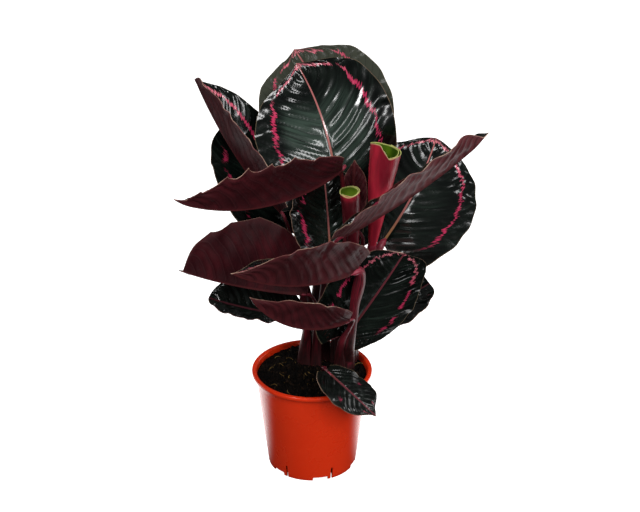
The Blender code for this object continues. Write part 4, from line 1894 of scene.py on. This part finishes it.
def open_leaves() -> list[OpenLeaf]:
    """Return the sixteen open leaves."""
    return [
        OpenLeaf("crown_back", foot=(12, 34), base=(27, 63, 289), heading=115, pitch=72, roll=15,
                 length=144, width=135, bend=-54, swing=4, twist=7, fold=(13, 14),
                 via=((4, 34, 170),), painted_sheen=0.6, dull=0.9, ring=0.85, ripple=0.9, seed=1),
        OpenLeaf("crown_front", foot=(13, 24), base=(24, 36, 281), heading=123, pitch=85, roll=25,
                 length=143, width=138, bend=-67, swing=-8, twist=10, via=((11, 23, 165),),
                 veins=12.0, mauve=0.0, painted_sheen=1.0, wave=(1.0, 1.6), ripple=0.9, seed=2),
        OpenLeaf("left_folded", foot=(-4, 15), base=(-29, 1, 276), heading=137, pitch=29, roll=-12,
                 length=164, width=107, bend=16, swing=-13, twist=3, fold=(60, 15), point=0.1,
                 veins=8.0, mauve=0.1, hook=(-10.0, -20.0), wave=(1.2, 1.0), ring_at=0.6,
                 ripple=1.0, painted_sheen=0.2, seed=3),
        OpenLeaf("left_upright", foot=(4, 26), base=(-22, 24, 243), heading=122, pitch=51, roll=4,
                 length=143, width=116, bend=-23, swing=-8, twist=-6, fold=(10, 12), lobe=0.25,
                 mauve=0.3, ring=0.5, painted_sheen=0.2, seed=4),
        OpenLeaf("left_wing", foot=(24, 11), base=(28, -29, 333), heading=215, pitch=-22, roll=-37,
                 length=181, width=114, bend=51, swing=-6, twist=-5, fold=(23, 40),
                 halves=(1.0, 0.8), lobe=0.04, crook=9.0,
                 via=((34, 11, 235), (31, 10, 288), (28, 5, 316)), hook=(10.0, 20.0),
                 scallop=(9.0, 0.0), ripple=1.0, veins=12.0, wave=(1.8, 1.2), waves=6.0, mauve=0.1,
                 seed=5),
        OpenLeaf("left_round", foot=(4, 2), base=(-5, -23, 200), heading=195, pitch=12, roll=-77,
                 length=132, width=133, bend=18, swing=13, fold=(30, 58), curl=(6, 8),
                 halves=(1.0, 0.6), point=-0.18, stem=(2.6, 1.1), scallop=(3.0, 0.0), ripple=1.0,
                 veins=12.0, wave=(1.3, 1.0), waves=4.0, mauve=0.05, seed=6),
        OpenLeaf("middle_low", foot=(35, 0), base=(42, -45, 236), heading=221, pitch=-2, roll=-44,
                 length=144, width=108, bend=34, swing=-14, twist=8, fold=(25, 70),
                 halves=(1.0, 0.6), lobe=0.12, crook=12.0, stem=(3.4, 1.3),
                 via=((37, -20, 147), (41, -31, 190)), ripple=0.8, veins=12.0, scallop=(2.0, 0.0),
                 wave=(1.6, 1.0), waves=5.0, mauve=0.2, belly=3.4, seed=7),
        OpenLeaf("front_low", foot=(27, -5), base=(36, -46, 184), heading=210, pitch=-8, roll=-38,
                 length=121, width=72, bend=67, swing=-7, fold=(24, 50), halves=(1.0, 0.6),
                 lobe=0.04, crook=13.0, stem=(2.6, 1.1), via=((29, -23, 147),), ripple=0.9,
                 veins=11.0, wave=(1.3, 0.8), waves=4.0, mauve=0.15, seed=8),
        OpenLeaf("left_low", foot=(-8, 6), base=(-15, -9, 168), heading=173, pitch=4, roll=1,
                 length=88, width=85, bend=12, twist=15, fold=(21, 21), curl=(6, 5), point=-0.05,
                 stem=(3.6, 1.3), ring=0.35, painted_sheen=0.1, veins=11.0, rib=0.4, mauve=0.9, waves=4.0,
                 seed=9),
        OpenLeaf("right_wing", foot=(28, 4), base=(30, -39, 270), heading=-10, pitch=34, roll=13,
                 length=171, width=86, bend=14, swing=-9, twist=4, fold=(24, 19), curl=(0, -6),
                 point=-0.32, via=((25, -8, 200), (19, -25, 238)), ripple=0.9, veins=13.0,
                 hook=(6.0, 12.0), wave=(1.6, 2.2), waves=6.0, mauve=0.75, seed=10),
        OpenLeaf("right_face", foot=(37, 29), base=(69, 30, 229), heading=49, pitch=31, roll=-16,
                 length=131, width=132, bend=6, swing=19, fold=(5, 2), curl=(-5, -7), point=0.1,
                 lobe=0.27, crook=10.0, belly=3.2, veins=12.0, painted_sheen=0.15, ripple=0.8, mauve=0.0,
                 seed=11),
        OpenLeaf("right_low", foot=(36, 8), base=(34, -13, 149), heading=3, pitch=56, roll=-114,
                 length=106, width=114, bend=6, swing=-12, twist=-3, fold=(6, 2), curl=(2, -4),
                 halves=(1.1, 0.86), point=-0.34, lobe=0.2, crook=6.0, stem=(2.6, 1.1),
                 painted_sheen=0.15, ring=0.8, rib=0.9, mauve=0.85, waves=4.0, seed=12),
        OpenLeaf("right_back", foot=(43, 22), base=(61, 46, 130), heading=17, pitch=40, roll=0,
                 length=72, width=80, bend=-20, swing=4, twist=-7, fold=(17, 6),
                 halves=(1.25, 1.0), point=-0.2, stem=(2.2, 1.4), ring=0.3, rib=0.5, mauve=0.8,
                 painted_sheen=0.1, veins=10.0, waves=3.0, seed=13),
        OpenLeaf("rim_drooper", foot=(13, -17), base=(14, -37, 124), heading=-40, pitch=-22,
                 roll=9, length=67, width=61, bend=-12, swing=10, twist=-10, fold=(3, 4),
                 curl=(-7, -6), crook=6.0, stem=(1.8, 1.2), ring=0.5, rib=0.9, mauve=0.8,
                 painted_sheen=0.0, dull=0.4, ripple=0.5, veins=10.0, ring_at=0.62, wave=(0.8, 0.8),
                 waves=4.0, seed=14),
        OpenLeaf("centre_inner", foot=(13, 14), base=(18, 9, 222), heading=108, pitch=83, roll=-21,
                 length=99, width=81, bend=-15, twist=16, fold=(15, 12), halves=(1.2, 1.0),
                 mauve=0.1, painted_sheen=0.35, veins=12.0, ring=0.8, ripple=1.0, seed=15),
        OpenLeaf("centre_sliver", foot=(29, 24), base=(39, 11, 264), heading=259, pitch=100,
                 roll=16, length=58, width=27, bend=4, fold=(26, 18), crook=10.0, stem=(2.0, 1.3),
                 via=((50, 18, 236),), ring=0.3, mauve=0.1, veins=8.0, ripple=0.5, wave=(0.6, 0.6),
                 seed=16),
    ]


def rolled_leaves() -> list[RolledLeaf]:
    """Return the two leaves that are still rolled."""
    return [
        RolledLeaf("tall_roll", foot=(39, 15), bottom=(58, 13, 229), top=(69, 11, 335),
                   bottom_radius=3.0, mouth_radius=16.5, belly=1.8, turns=1.45, start=-95.0,
                   rim=((-180, 7.5), (-140, 10), (-112, 11), (-74, -2), (-40, -1), (0, 0), (90, 1),
                        (150, 5)), seed=21),
        RolledLeaf("short_roll", foot=(31, 16), bottom=(42, 3, 222), top=(36, -3, 299),
                   bottom_radius=3.0, mouth_radius=10.5, turns=1.7, start=-150.0,
                   rim=((-180, 1), (-90, -1), (0, 0.5), (90, 1)), shaded=0.85, seed=22),
    ]


def main() -> None:
    """Build everything, in order."""
    logging.basicConfig(level=logging.INFO, format="%(name)s %(message)s")
    effects = SharedEffects()
    wardrobe = {option: option.value.material(effects) for option in Dress}
    leaves = open_leaves() + rolled_leaves()
    pot = NurseryPot()
    pot.build(wardrobe)
    PottingMix(pot, [leaf.foot for leaf in leaves]).build(wardrobe)
    for leaf in leaves:
        leaf.build(wardrobe)
    Studio().build(wardrobe)
    LOG.info("sizes written")


if __name__ == "__main__":
    main()
